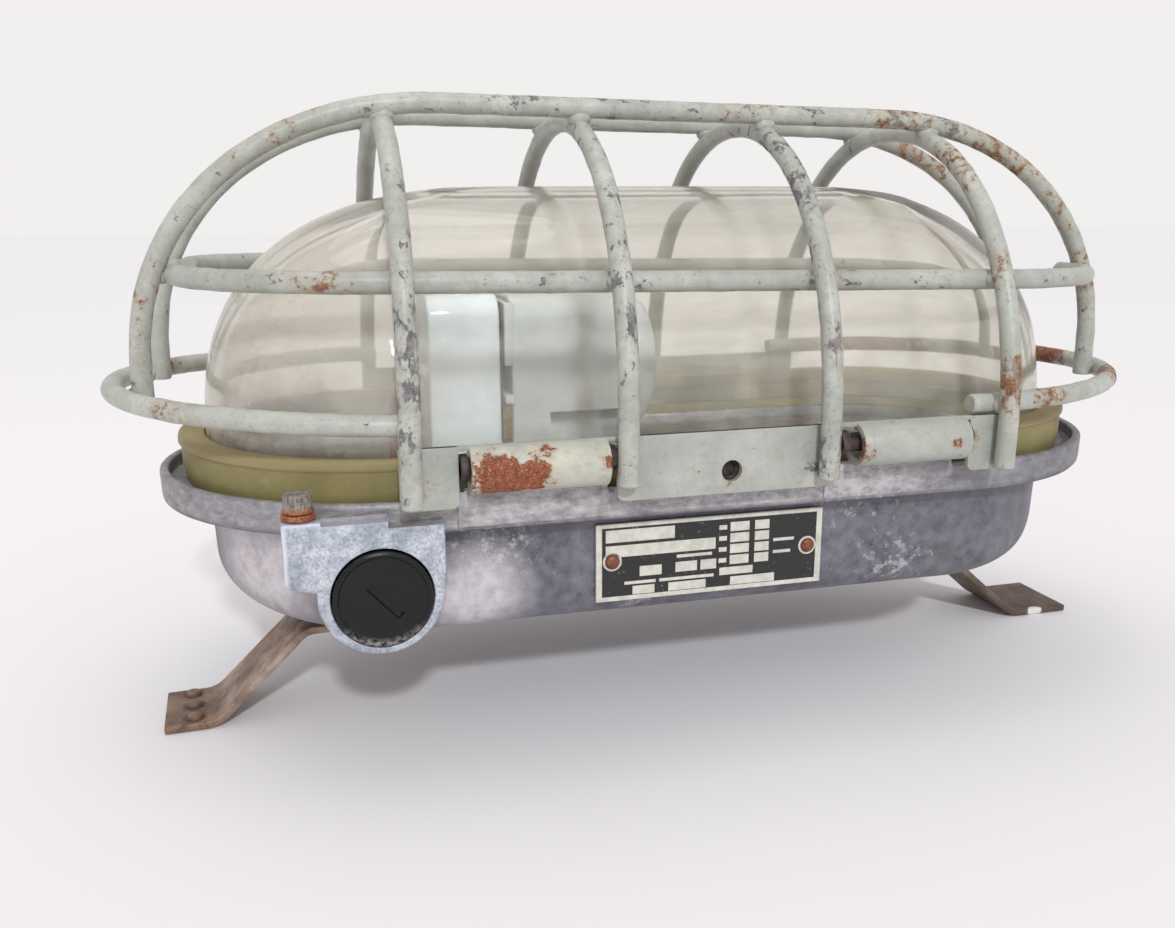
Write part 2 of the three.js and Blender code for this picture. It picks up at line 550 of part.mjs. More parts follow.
const roundedPlate = (x0, x1, z0) => {
  const r = 2;
  return [...arc(x0 + r, z0 + r, r, 180, 270, 3), ...arc(x1 - r, z0 + r, r, 270, 360, 3),
    [x1, strip.topZ], [x0, strip.topZ]];
};

const hingeStrip = () => {
  const front = -strip.y - strip.thickness / 2;
  const back = front + strip.thickness;
  const spans = [[strip.left, stripSlots[0][0]], [stripSlots[0][1], stripSlots[1][0]],
    [stripSlots[1][1], strip.right]];
  const plates = spans.map(([x0, x1], i) => slab('y', roundedPlate(x0, x1, stripBottomZ[i]), front, back));
  const web = box(strip.left, strip.right, front, back, strip.webZ, strip.topZ);
  const whole = joinAll([web, ...plates, ...knuckles.map(knuckle)]);
  return cutAll(whole, [holeCutter(-1, stripHole.radius)]);
};

const lockStrip = () => {
  const inner = strip.y - strip.thickness / 2;
  const outline = roundedPlate(strip.left, strip.right, stripBottomZ[0]);
  const blank = slab('y', outline, inner, inner + strip.thickness);
  return cutAll(toSolid(blank), [holeCutter(1, stripHole.radius + gap)]);
};

piece('hinge_strip', 'guardPaint', hingeStrip());
piece('lock_strip', 'guardPaint', lockStrip());

knuckles.forEach(({ name }, i) => {
  const from = ears[2 * i][0];
  const to = ears[2 * i + 1][1];
  piece(`hinge_pin_${name}`, 'zincSteel', cylinder('x', from, to, hinge.pinRadius, hinge.y, hinge.z, 12));
});

// ---------------------------------------------------------------- lock screw

const stripOuterY = strip.y + strip.thickness / 2;
const lockHeadY = stripOuterY + gap + 1 + gap;
const lockBlank = turned('y', [
  [0, lock.lugInner - 4.6], [lock.shank, lock.lugInner - 4.6], [lock.shank, lockHeadY],
  [4.4, lockHeadY], [4.4, lockHeadY + 2.9], [3.6, lockHeadY + 3.6], [0, lockHeadY + 3.6]], lock.x, lock.z, 14);
const lockSlot = box(lock.x - 6, lock.x + 6, lockHeadY + 2.2, lockHeadY + 5, lock.z - 0.6, lock.z + 0.6);
piece('lock_screw', 'zincSteel', cutAll(toSolid(lockBlank), [lockSlot]));
piece('lock_washer', 'zincSteel',
  ringAboutY(lock.shank + gap, 5, stripOuterY + gap, stripOuterY + gap + 1, lock.x, lock.z, 16));
const nutBlank = toSolid(box(lock.x - lock.nut, lock.x + lock.nut,
  lock.lugInner - gap - 3, lock.lugInner - gap, lock.z - lock.nut, lock.z + lock.nut));
piece('lock_nut', 'zincSteel', cutAll(nutBlank,
  [cylinder('y', lock.lugInner - 6, lock.lugInner, lock.shank + gap, lock.x, lock.z, 14)]));

// ---------------------------------------------------------------- carrier plate and terminal block

const plateTop = plate.bottomZ + plate.thickness;
const carrier = () => {
  const level = (z) => ({ l: plate.halfLength, w: plate.halfWidth, s: 78, z });
  const blank = ovalLathe([{ l: 0, w: 0, s: 0, z: plate.bottomZ }, level(plate.bottomZ), level(plateTop),
    { l: 0, w: 0, s: 0, z: plateTop }], 28);
  return cutAll(toSolid(blank), [
    ...posts.map(([x, y]) => cylinder('z', plate.bottomZ - 1, plateTop + 1, 2 + gap, x, y, 10)),
    ...holderScrews.map(([x, y]) => cylinder('z', plate.bottomZ - 1, plateTop + 1, 2 + gap, x, y, 10)),
    cylinder('z', plate.bottomZ - 1, plateTop + 1, 6, leadHole.x, leadHole.y, 14),
  ]);
};
piece('carrier_plate', 'whiteEnamel', carrier());

const panHead = (x, y, seatZ, length, radius = 2, head = 3.6) => turned('z', [
  [0, seatZ - length], [radius, seatZ - length],
  [radius, seatZ], [head, seatZ], [head, seatZ + 1.2], [head - 1, seatZ + 2.1], [0, seatZ + 2.1]], x, y, 12);
posts.forEach(([x, y], i) => piece(`carrier_screw_${i + 1}`, 'zincSteel', panHead(x, y, plateTop + gap, 11)));

const blockBottom = cavity.floorZ + 2.2 + gap;
const terminalBlock = () => cutAll(
  toSolid(box(terminal.x0, terminal.x1, -terminal.y, terminal.y,
    blockBottom, blockBottom + terminal.height)),
  terminal.poles.flatMap((x) => [
    cylinder('z', blockBottom + 6, blockBottom + terminal.height + 1, 2.2, x, 0, 10),
    cylinder('y', -terminal.y - 1, -4, 2, x, blockBottom + 4, 10),
    cylinder('y', 4, terminal.y + 1, 2, x, blockBottom + 4, 10),
  ]));
piece('terminal_block', 'ceramic', terminalBlock());
terminal.poles.forEach((x, i) => piece(`terminal_screw_${i + 1}`, 'brass',
  cylinder('z', blockBottom + 6 + gap, blockBottom + terminal.height - 1.5, 1.8, x, 0, 10)));
piece('inner_earth_screw', 'brass', panHead(earthInside.x, earthInside.y, cavity.floorZ + gap, 2.4));

// ---------------------------------------------------------------- lampholder

const holderBase = plateTop + gap;
const holderShape = (halfWidth, z0, z1, round) => [
  ...arc(halfWidth - 3, z0 + 3, 3, -90, 0, 2),
  ...arc(halfWidth - round, z1 - round, round, 0, 90, 5),
  ...arc(-halfWidth + round, z1 - round, round, 90, 180, 5),
  ...arc(-halfWidth + 3, z0 + 3, 3, 180, 270, 2)];

const holderRear = () => cutAll(
  toSolid(slab('x', holderShape(holder.halfWidth, holderBase, holder.topZ, 7),
    holder.rearFrom, holder.rearTo)),
  [...holderScrews.map(([x, y]) => cylinder('z', holderBase - 1, holderBase + 8, 2 + gap, x, y, 10)),
    cylinder('x', holder.rearTo - 7, holder.rearTo + 1, 6, 0, holder.axisZ, 14),
    ...leadEndZ.map((z) => cylinder('x', holder.rearFrom - 1, holder.rearFrom + 6, 2.4, 0, z, 10))]);

const holderFront = () => {
  const back = holderShape(holder.halfWidth, 73.5, holder.topZ - 0.6, 8);
  const blank = toSolid(slab('x', back, holder.frontFrom, holder.frontTo - 12));
  const nose = turned('x', [[0, holder.frontTo - 13], [22, holder.frontTo - 13], [22, holder.frontTo - 8],
    [20.5, holder.frontTo - 3], [17.6, holder.frontTo], [0, holder.frontTo]], 0, holder.axisZ, 28);
  const shelfCut = [-1, 1].map((side) => box(-36, -13, side < 0 ? -30 : holder.halfWidth - 2.5,
    side < 0 ? -holder.halfWidth + 2.5 : 30, 75.5, 87));
  const lip = (z0, z1) => toSolid(slab('x', back, holder.rearTo + 0.8, holder.frontFrom + 1))
    .intersect(toSolid(box(holder.rearTo, holder.frontFrom + 1, -30, 30, z0, z1)));
  return cutAll(blank.add(toSolid(nose)).add(lip(101, 130)).add(lip(90, 92.5)), [
    cylinder('x', holder.frontFrom + 6, holder.frontTo + 1, holder.bore, 0, holder.axisZ, 24),
    ...shelfCut]);
};
piece('holder_rear', 'ceramic', holderRear());
piece('holder_front', 'ceramic', holderFront());

const shellBlank = turned('x', [[0, holder.frontFrom + 6.4], [holder.shellOuter, holder.frontFrom + 6.4],
  [holder.shellOuter, holder.frontTo - 4], [holder.shellInner, holder.frontTo - 4],
  [holder.shellInner, holder.frontFrom + 7.6], [0, holder.frontFrom + 7.6]], 0, holder.axisZ, 24);
const shellHole = cylinder('x', holder.frontFrom + 5, holder.frontFrom + 9, 7, 0, holder.axisZ, 12);
piece('holder_shell', 'brass', cutAll(toSolid(shellBlank), [shellHole]));
piece('holder_contact', 'brass', slab('y', [
  [holder.frontFrom + 6.4, holder.axisZ - 5], [holder.frontFrom + 7.2, holder.axisZ - 5],
  [holder.frontFrom + 7.2, holder.axisZ - 0.5], [holder.frontFrom + 11, holder.axisZ + 3.5],
  [holder.frontFrom + 10.2, holder.axisZ + 4.2], [holder.frontFrom + 6.4, holder.axisZ]], -3, 3));

// Brass links in the open gap between the two ceramic halves, one on each side.
[-1, 1].forEach((side, i) => {
  const [inner, outer] = [side * 10, side * 20].sort((a, b) => a - b);
  piece(`terminal_clip_${i + 1}`, 'brass',
    box(holder.rearTo + gap, holder.frontFrom - gap, inner, outer, ...clipHeight));
});

holderScrews.forEach(([x, y], i) => {
  const seat = plate.bottomZ - gap;
  piece(`holder_screw_${i + 1}`, 'zincSteel', turned('z', [[0, seat - 2], [2.6, seat - 2], [3.6, seat - 1.2], [3.6, seat],
    [2, seat], [2, holderBase + 7], [0, holderBase + 7]], x, y, 12));
});

// Leads: from the terminal block through the carrier plate to the back of the lampholder.
const leads = [['live', -1, 0], ['neutral', 1, 2]];
for (const [name, side, pole] of leads) {
  const start = new THREE.Vector3(terminal.poles[pole], side * (terminal.y + 1), blockBottom + 4);
  const curve = new THREE.CatmullRomCurve3([
    start,
    new THREE.Vector3(terminal.poles[pole] - 3, side * 17, blockBottom + 6),
    new THREE.Vector3(-68, side * 14, 55),
    new THREE.Vector3(leadHole.x, side * 2.6, 61),
    new THREE.Vector3(leadHole.x, side * 2.6, 72),
    new THREE.Vector3(leadHole.x + 1, side * 1.8, leadEndZ[side < 0 ? 0 : 1] - 6),
    new THREE.Vector3(holder.rearFrom - 0.6, 0, leadEndZ[side < 0 ? 0 : 1]),
  ], false, 'centripetal');
  piece(`lead_${name}`, 'leadInsulation', wire(curve, 20, 1.3, 6));
}

export default lamp;
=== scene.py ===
"""Oval bulkhead lamp: cast tray on two bent feet, glass dome on a rubber gasket, ceramic
lampholder and hinged wire guard. Lengths below are in millimetres about the guard's middle,
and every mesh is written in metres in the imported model's frame."""

import json
import math

import bmesh
import bpy
from mathutils import Matrix, Vector, noise


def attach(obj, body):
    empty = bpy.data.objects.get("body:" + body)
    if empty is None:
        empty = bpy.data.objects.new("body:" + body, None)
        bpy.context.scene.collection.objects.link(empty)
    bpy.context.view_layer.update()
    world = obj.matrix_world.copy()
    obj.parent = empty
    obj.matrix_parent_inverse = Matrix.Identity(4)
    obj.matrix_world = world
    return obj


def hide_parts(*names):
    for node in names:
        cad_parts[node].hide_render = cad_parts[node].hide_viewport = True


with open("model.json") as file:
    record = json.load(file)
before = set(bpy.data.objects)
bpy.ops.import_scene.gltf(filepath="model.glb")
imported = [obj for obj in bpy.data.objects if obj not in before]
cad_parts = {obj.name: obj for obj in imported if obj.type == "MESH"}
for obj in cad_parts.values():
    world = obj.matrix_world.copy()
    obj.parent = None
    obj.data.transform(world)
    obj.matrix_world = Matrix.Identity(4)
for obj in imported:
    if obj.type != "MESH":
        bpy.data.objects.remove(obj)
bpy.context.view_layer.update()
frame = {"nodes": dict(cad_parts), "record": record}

MM = 0.001
ORIGIN_X = 0.21

# ------------------------------------------------------------------ driving dimensions

WIRE = 2.8
LEAN = math.radians(0.92)
LEAN_Z = 82.0
LONG_HOOP = dict(y=23.15, half=148.0, foot=93.0, spring=103.0, top=172.8, corner=81.1, power=2.11)
CROSS_HOOP = dict(half=75.6, spring=87.0, top=170.3, power=2.13)
CROSS_X = (-82.8, -28.1, 28.1, 82.3)
CROSS_FOOT = (73.9, 76.6, 75.5, 75.9)
RING = dict(z=95.2, low=93.2, length=158.6, width=69.7, centre=78.0)
RING_END = (80.5, 73.5)
SIDE_ROD = dict(z=127.25, width=61.4, straight=85.0, end=138.1)

HINGE = dict(y=-71.6, z=83.4, outer=5.65, inner=3.85, ear=3.9)
STRIP = dict(y=71.6, thick=1.8, top=89.3, web=88.1, left=-85.4, right=85.0)
SLOTS = ((-70.7, -29.9), (32.0, 72.6))
STRIP_BOTTOM = (73.5, 72.2, 73.5)
KNUCKLES = ((-68.2, -32.8), (37.6, 70.6))
EARS = ((-70.4, -68.5), (-32.5, -30.5), (32.3, 34.7), (70.9, 72.3))
LEDGE_TOP = 76.4
HOLE = dict(x=1.5, z=78.4, r=2.9)

CASTING_X = 0.7
BODY = dict(l=135.3, w=58.2, s=77.7, bottom=34.2, side=8.4, end=14.0, draft=1.2)
RIM = dict(centre=1.6, l=149.6, w=65.0, s=80.0, bottom=65.2, top=73.9, wall=2.6)
GROOVE = dict(z=70.0, l=131.0, w=51.8, s=80.0)
CAVITY = dict(z=40.5, l=128.5, w=50.4, s=80.0)
GLASS = dict(l=135.2, w=55.5, s=80.0, base=73.4, top=152.4, wall=4.0, shoulder=80.0,
             drop=91.5, end=2.57, side=1.87)
GASKET = dict(l=143.0, w=59.8, s=84.0, bottom=70.3, step=81.0, top=84.2)

BOSS = dict(x=-90.7, z=52.4, r=15.8, front=-71.0, left=-114.0, right=-74.4, shelf=72.3, step=57.2)
GLAND = dict(x=-90.5, z=51.5, bore=12.8, plug=12.5, shoulder=-60.0, seat=-62.6, face=-72.1)
EARTH = dict(x=-109.7, y=-66.8, head=3.6, height=4.6, washer=4.2, thick=1.4)
LOCK = dict(x=1.5, z=78.4, shank=2.7, slot=3.3, nut=4.2, inner=67.4, outer=70.4)
PLATE_TOP = 67.5
PLATE = dict(l=118.0, w=43.0, s=78.0, bottom=66.3)
HOLDER = dict(z=98.5, half=22.0, top=121.5, rear=(-71.3, -50.6), front=(-47.2, -1.5), bore=14.9)
NAMEPLATE = dict(x=1.7, y=-58.75, z=51.1, w=67.6, h=22.4, tilt=0.5)
FOOT = dict(thick=2.2, top=27.3, pad_bend=9.0, shoulder_bend=6.0)
FEET = (
    dict(name="left", out=-1, width=24.8, pad=151.5, bend=137.0, shoulder=110.5, tongue=70.0,
         x=-86.0, y=-10.0, turn=2.8),
    dict(name="right", out=1, width=26.0, pad=160.8, bend=138.5, shoulder=109.5, tongue=74.0,
         x=90.0, y=1.0, turn=0.4),
)


# ------------------------------------------------------------------ node materials

class Nodes:
    """A material's node tree, with short calls for the nodes used here."""

    def __init__(self, name):
        self.material = bpy.data.materials.new(name)
        self.material.use_nodes = True
        self.tree = self.material.node_tree
        self.tree.nodes.clear()
        self.out = self.add("ShaderNodeOutputMaterial")
        self.coords = self.add("ShaderNodeTexCoord").outputs["Object"]

    def add(self, kind, inputs=None, **settings):
        node = self.tree.nodes.new(kind)
        for key, value in settings.items():
            setattr(node, key, value)
        for key, value in (inputs or {}).items():
            self.put(node.inputs[key], value)
        return node

    def put(self, socket, value):
        if isinstance(value, bpy.types.NodeSocket):
            self.tree.links.new(value, socket)
        else:
            socket.default_value = value

    def noise(self, size_mm, detail=4.0, rough=0.6, stretch=None):
        vector = self.coords
        if stretch:
            vector = self.add("ShaderNodeMapping", {"Vector": vector, "Scale": stretch}).outputs[0]
        return self.add("ShaderNodeTexNoise", {"Vector": vector, "Scale": 1000.0 / size_mm,
                                               "Detail": detail, "Roughness": rough}).outputs["Fac"]

    def span(self, value, low, high, to_low=0.0, to_high=1.0):
        node = self.add("ShaderNodeMapRange", {"Value": value, "From Min": low, "From Max": high,
                                               "To Min": to_low, "To Max": to_high})
        node.clamp = True
        return node.outputs[0]

    def math(self, operation, a, b=0.0):
        node = self.add("ShaderNodeMath", operation=operation)
        self.put(node.inputs[0], a)
        self.put(node.inputs[1], b)
        return node.outputs[0]

    def mix(self, factor, a, b):
        node = self.add("ShaderNodeMix", data_type="RGBA")
        self.put(node.inputs[0], factor)
        self.put(node.inputs[6], a)
        self.put(node.inputs[7], b)
        return node.outputs[2]

    def near(self, spot_mm, radius_mm, soft_mm):
        """1 within radius_mm of a place, falling to 0 over soft_mm."""
        x, y, z = spot_mm
        place = ((x - ORIGIN_X) * MM, y * MM, z * MM)
        node = self.add("ShaderNodeVectorMath", operation="DISTANCE")
        self.put(node.inputs[0], self.coords)
        self.put(node.inputs[1], place)
        return self.span(node.outputs["Value"], radius_mm * MM, (radius_mm + soft_mm) * MM, 1.0, 0.0)

    def axis(self, index):
        return self.add("ShaderNodeSeparateXYZ", {"Vector": self.coords}).outputs[index]

    def above(self, index, low_mm, high_mm):
        """0 below low_mm and 1 above high_mm along one axis."""
        return self.span(self.axis(index), low_mm * MM, high_mm * MM)

    def largest(self, values):
        result = values[0]
        for value in values[1:]:
            result = self.math("MAXIMUM", result, value)
        return result

    def bump(self, height, distance_mm, strength=1.0):
        return self.add("ShaderNodeBump", {"Height": height, "Distance": distance_mm * MM,
                                           "Strength": strength}).outputs[0]

    def surface(self, inputs):
        shader = self.add("ShaderNodeBsdfPrincipled", inputs)
        self.tree.links.new(shader.outputs[0], self.out.inputs[0])
        return self.material


def srgb(r, g, b):
    """A colour given as it looks, 0 to 255, in linear light."""
    def linear(c):
        c /= 255.0
        return c / 12.92 if c <= 0.04045 else ((c + 0.055) / 1.055) ** 2.4
    return (linear(r), linear(g), linear(b), 1.0)


def guard_paint(name, rust_spots=(), chip_spots=(), chips=0.0, cream=0.0, dusk=0.0, along=(0.6, 1.0, 0.8),
                red=False):
    """Old grey-green paint with dark chips, pin-holes and rust at the given places."""
    n = Nodes(name)
    tone = n.span(n.noise(14, 3), 0.35, 0.68)
    base = n.mix(tone, srgb(166, 169, 160), srgb(190, 192, 183))
    base = n.mix(n.span(n.noise(5, 5, 0.7), 0.5, 0.78, 0.0, 0.5), base, srgb(158, 158, 148))
    base = n.mix(n.span(n.noise(0.9, 4, 0.8), 0.56, 0.68, 0.0, 0.45), base, srgb(124, 116, 104))
    if dusk:
        base = n.mix(n.span(n.noise(24, 3), 0.3, 0.7, dusk * 0.6, dusk), base, srgb(140, 143, 137))
    if cream:
        warm = n.math("MULTIPLY", n.span(n.noise(9, 4), 0.4, 0.6, 0.3, cream),
                      n.span(n.axis(0), -20 * MM, 20 * MM, 1.0, 0.1))
        base = n.mix(warm, base, srgb(214, 208, 188))
    ragged = n.noise(3.8, 8, 0.74, along)
    wear = n.math("MULTIPLY", n.span(n.noise(30, 2), 0.4, 0.7), 0.045)
    wear = n.math("ADD", wear, chips)
    for spot, radius, amount in chip_spots:
        wear = n.math("ADD", wear, n.math("MULTIPLY", n.near(spot, radius * 0.3, radius), amount))
    field = n.math("ADD", ragged, wear)
    chip = n.span(field, 0.672, 0.688)
    fine = n.span(n.math("ADD", n.noise(1.1, 3, 0.7), n.math("MULTIPLY", wear, 0.5)), 0.70, 0.74)
    chip = n.math("MAXIMUM", chip, n.math("MULTIPLY", fine, 0.8))
    grime = n.span(n.math("ADD", n.noise(3.4, 8, 0.75), n.math("MULTIPLY", wear, 0.8)), 0.54, 0.74, 0.0, 0.42)
    base = n.mix(grime, base, srgb(136, 128, 114))
    under = n.mix(n.span(n.noise(2.0, 5, 0.7), 0.4, 0.62), srgb(96, 92, 94), srgb(140, 136, 136))
    colour = n.mix(chip, base, under)
    rust = None
    if rust_spots:
        spots = [n.math("MULTIPLY", n.near(spot, radius * 0.35, radius * 0.75), amount)
                 for spot, radius, amount in rust_spots]
        field = n.math("ADD", n.noise(3.6, 9, 0.74), n.math("MULTIPLY", n.largest(spots), 0.3))
        rust = n.span(field, 0.70, 0.735) if red else n.span(field, 0.685, 0.77)
        stain = n.span(field, 0.58, 0.72, 0.0, 0.6)
        colour = n.mix(stain, colour, srgb(172, 150, 124))
        dark, light = (srgb(88, 48, 38), srgb(158, 86, 52)) if red else (srgb(88, 56, 44), srgb(152, 98, 66))
        tint = n.mix(n.span(n.noise(1.5, 7, 0.78), 0.36, 0.6), dark, light)
        tint = n.mix(n.span(n.noise(0.7, 6, 0.85), 0.55, 0.64, 0.0, 0.8 if red else 0.5), tint,
                     srgb(222, 184, 140))
        colour = n.mix(rust, colour, tint)
        chip = n.math("MAXIMUM", chip, rust)
    height = n.math("SUBTRACT", n.math("MULTIPLY", n.noise(3.5, 4), 0.5), n.math("MULTIPLY", chip, 0.6))
    return n.surface({"Base Color": colour, "Roughness": n.mix(chip, (0.42,) * 3 + (1,), (0.8,) * 3 + (1,)),
                      "Normal": n.bump(height, 0.22, 0.8), "IOR": 1.5})


def casting(name, face=False):
    """Weathered cast aluminium: mottled grey-violet with pale oxide, lighter on the boss face, with painted highlights
    and painted shade.
    """
    n = Nodes(name)
    broad = n.span(n.noise(26, 4, 0.6), 0.38, 0.64)
    grain = n.span(n.noise(3.2, 8, 0.75), 0.36, 0.66)
    colour = n.mix(broad, srgb(74, 74, 82), srgb(110, 109, 118))
    colour = n.mix(n.math("MULTIPLY", grain, 0.45), colour, srgb(178, 177, 184))
    dark = n.span(n.noise(1.6, 6, 0.8), 0.52, 0.66, 0.0, 0.6)
    colour = n.mix(dark, colour, srgb(80, 76, 82))
    stain = n.span(n.noise(10, 7, 0.72), 0.54, 0.68, 0.0, 0.55)
    colour = n.mix(stain, colour, srgb(96, 90, 92))
    patches = n.largest([n.near(spot, radius * 0.3, radius) for spot, radius in (
        ((46, -64, 70), 20), ((-20, -58, 40), 12), ((60, -58, 44), 14), ((0, 62, 60), 40),
        ((-150, 0, 62), 20), ((-60, -58, 58), 16))])
    oxide = n.span(n.math("ADD", n.noise(3.4, 9, 0.78), n.math("MULTIPLY", patches, 0.13)), 0.62, 0.74)
    colour = n.mix(n.math("MULTIPLY", oxide, 0.7), colour, srgb(206, 204, 210))
    # Painted highlights: pale sheen patches right of the boss and at the left end, kept below the rim.
    painted_sheen = n.largest([n.near(spot, core, soft) for spot, core, soft in (
        ((-65, -57, 45), 6, 12), ((-126, -42, 54), 12, 20))])
    painted_sheen = n.math("MULTIPLY", painted_sheen, n.span(n.noise(5, 6, 0.7), 0.3, 0.6, 0.45, 0.85))
    painted_sheen = n.math("MULTIPLY", painted_sheen, n.math("SUBTRACT", 1.0, n.above(2, 62.5, 65.0)))
    colour = n.mix(painted_sheen, colour, srgb(226, 219, 222))
    if face:
        tint = n.mix(n.span(n.noise(6, 7, 0.72), 0.38, 0.62), srgb(166, 173, 186), srgb(222, 227, 234))
        speck = n.span(n.noise(0.8, 5, 0.85), 0.47, 0.6, 0.0, 0.6)
        tint = n.mix(speck, tint, srgb(118, 123, 136))
        left_edge = n.math("SUBTRACT", 1.0, n.above(0, -113.6, -112.8))
        tint = n.mix(left_edge, tint, srgb(226, 230, 236))
        front = n.math("MULTIPLY", n.math("SUBTRACT", 1.0, n.above(1, -70.7, -70.2)),
                       n.math("SUBTRACT", 1.0, n.above(0, -74.6, -74.2)))
        colour = n.mix(n.math("MULTIPLY", front, 0.9), colour, tint)
        # Pale bluish band at the boss shelf: partly a worn edge, partly painted light on the shelf's top.
        shelf = n.math("MULTIPLY", n.above(2, 70.6, 71.6), n.math("SUBTRACT", 1.0, n.above(2, 72.6, 73.0)))
        shelf = n.math("MULTIPLY", shelf, n.math("SUBTRACT", 1.0, n.above(1, -68.6, -66.8)))
        colour = n.mix(n.math("MULTIPLY", shelf, 0.75), colour, srgb(198, 200, 216))
    off_boss = n.above(1, -70.8, -70.2)
    rim_band = n.math("MULTIPLY", n.above(2, 65.4, 67.0), off_boss)
    # Pale worn rim band, partly real wear and partly painted light: turned up along the middle, where the strip's
    # shadow falls, and down towards both ends.
    rim_wear_and_painted_light = n.span(n.noise(2.4, 8, 0.75, (0.5, 0.5, 1.0)), 0.38, 0.64, 0.2, 0.85)
    rim_wear_and_painted_light = n.math("MULTIPLY", rim_wear_and_painted_light, n.span(n.axis(0), -110 * MM, -60 * MM, 0.7, 1.2))
    rim_wear_and_painted_light = n.math("MULTIPLY", rim_wear_and_painted_light, n.span(n.axis(0), 50 * MM, 80 * MM, 1.0, 0.3))
    colour = n.mix(n.math("MULTIPLY", rim_band, rim_wear_and_painted_light), colour, srgb(204, 200, 200))
    # Painted shade: the body darkens towards the rim's overhang, away from the boss.
    shade = n.span(n.axis(2), 58 * MM, 65 * MM, 0.0, 0.35)
    painted_shade_under_rim = n.math("MULTIPLY", shade, n.math("SUBTRACT", 1.0, n.above(2, 65.0, 65.6)))
    painted_shade_under_rim = n.math("MULTIPLY", painted_shade_under_rim, off_boss)
    colour = n.mix(painted_shade_under_rim, colour, srgb(76, 72, 80))
    height = n.math("ADD", n.math("MULTIPLY", n.noise(1.3, 6, 0.75), 0.6), n.math("MULTIPLY", n.noise(7, 3), 0.9))
    return n.surface({"Base Color": colour, "Metallic": 0.45,
                      "Roughness": n.span(grain, 0.0, 1.0, 0.44, 0.66),
                      "Normal": n.bump(height, 0.3, 0.75)})


def gasket_rubber(name):
    n = Nodes(name)
    colour = n.mix(n.span(n.noise(18, 4), 0.35, 0.65), srgb(128, 118, 74), srgb(146, 136, 88))
    colour = n.mix(n.span(n.noise(1.8, 6, 0.7), 0.55, 0.75, 0.0, 0.35), colour, srgb(120, 110, 74))
    band = n.above(2, 80.6, 81.2)
    colour = n.mix(n.math("MULTIPLY", band, 0.55), colour, srgb(158, 140, 102))
    dust = n.span(n.noise(11, 7, 0.7), 0.55, 0.75, 0.0, 0.35)
    colour = n.mix(dust, colour, srgb(186, 178, 146))
    return n.surface({"Base Color": colour, "Roughness": 0.62, "IOR": 1.5,
                      "Normal": n.bump(n.noise(2.4, 5, 0.7), 0.12, 0.6)})


def clear_glass(name):
    """Clear pressed glass that lets lamps' light through, with a faint film of dust and painted dark patches low down.
    """
    n = Nodes(name)
    wave = n.add("ShaderNodeBump", {"Height": n.noise(34, 2, 0.4), "Distance": 0.5 * MM, "Strength": 0.35})
    grazing = n.add("ShaderNodeLayerWeight", {"Blend": 0.45}).outputs["Facing"]
    tint = n.mix(n.span(grazing, 0.35, 0.9), (0.92, 0.905, 0.86, 1.0), (0.50, 0.50, 0.40, 1.0))
    glass = n.add("ShaderNodeBsdfPrincipled", {
        "Base Color": tint, "Roughness": 0.04, "IOR": 1.47,
        "Transmission Weight": 1.0, "Normal": wave.outputs[0]})
    clear = n.add("ShaderNodeBsdfTransparent", {"Color": (0.86, 0.885, 0.865, 1.0)})
    shadow = n.add("ShaderNodeLightPath").outputs["Is Shadow Ray"]
    lit = n.add("ShaderNodeMixShader", {0: shadow, 1: glass.outputs[0], 2: clear.outputs[0]})
    # Painted shade: dark patches in the film low on the glass, standing in for the dark inside seen through it.
    foot = n.span(n.axis(2), 86 * MM, 104 * MM, 1.0, 0.0)
    painted_dark_patches = n.math("MULTIPLY", foot, n.span(n.noise(22, 5, 0.55), 0.44, 0.6, 0.0, 0.8))
    film = n.add("ShaderNodeBsdfDiffuse", {"Color": n.mix(painted_dark_patches, srgb(236, 229, 217), srgb(98, 90, 84))})
    streak = n.span(n.noise(16, 7, 0.65, (0.5, 1.0, 1.6)), 0.36, 0.72, 0.02, 0.15)
    left = n.span(n.axis(0), -110 * MM, -60 * MM, 0.18, 0.0)
    low = n.span(n.axis(2), 84 * MM, 122 * MM, 0.06, 0.0)
    dust = n.math("ADD", streak, n.math("ADD", left, low))
    dust = n.math("ADD", dust, n.math("MULTIPLY", painted_dark_patches, 0.22))
    whole = n.add("ShaderNodeMixShader", {0: dust, 1: lit.outputs[0], 2: film.outputs[0]})
    n.tree.links.new(whole.outputs[0], n.out.inputs[0])
    return n.material


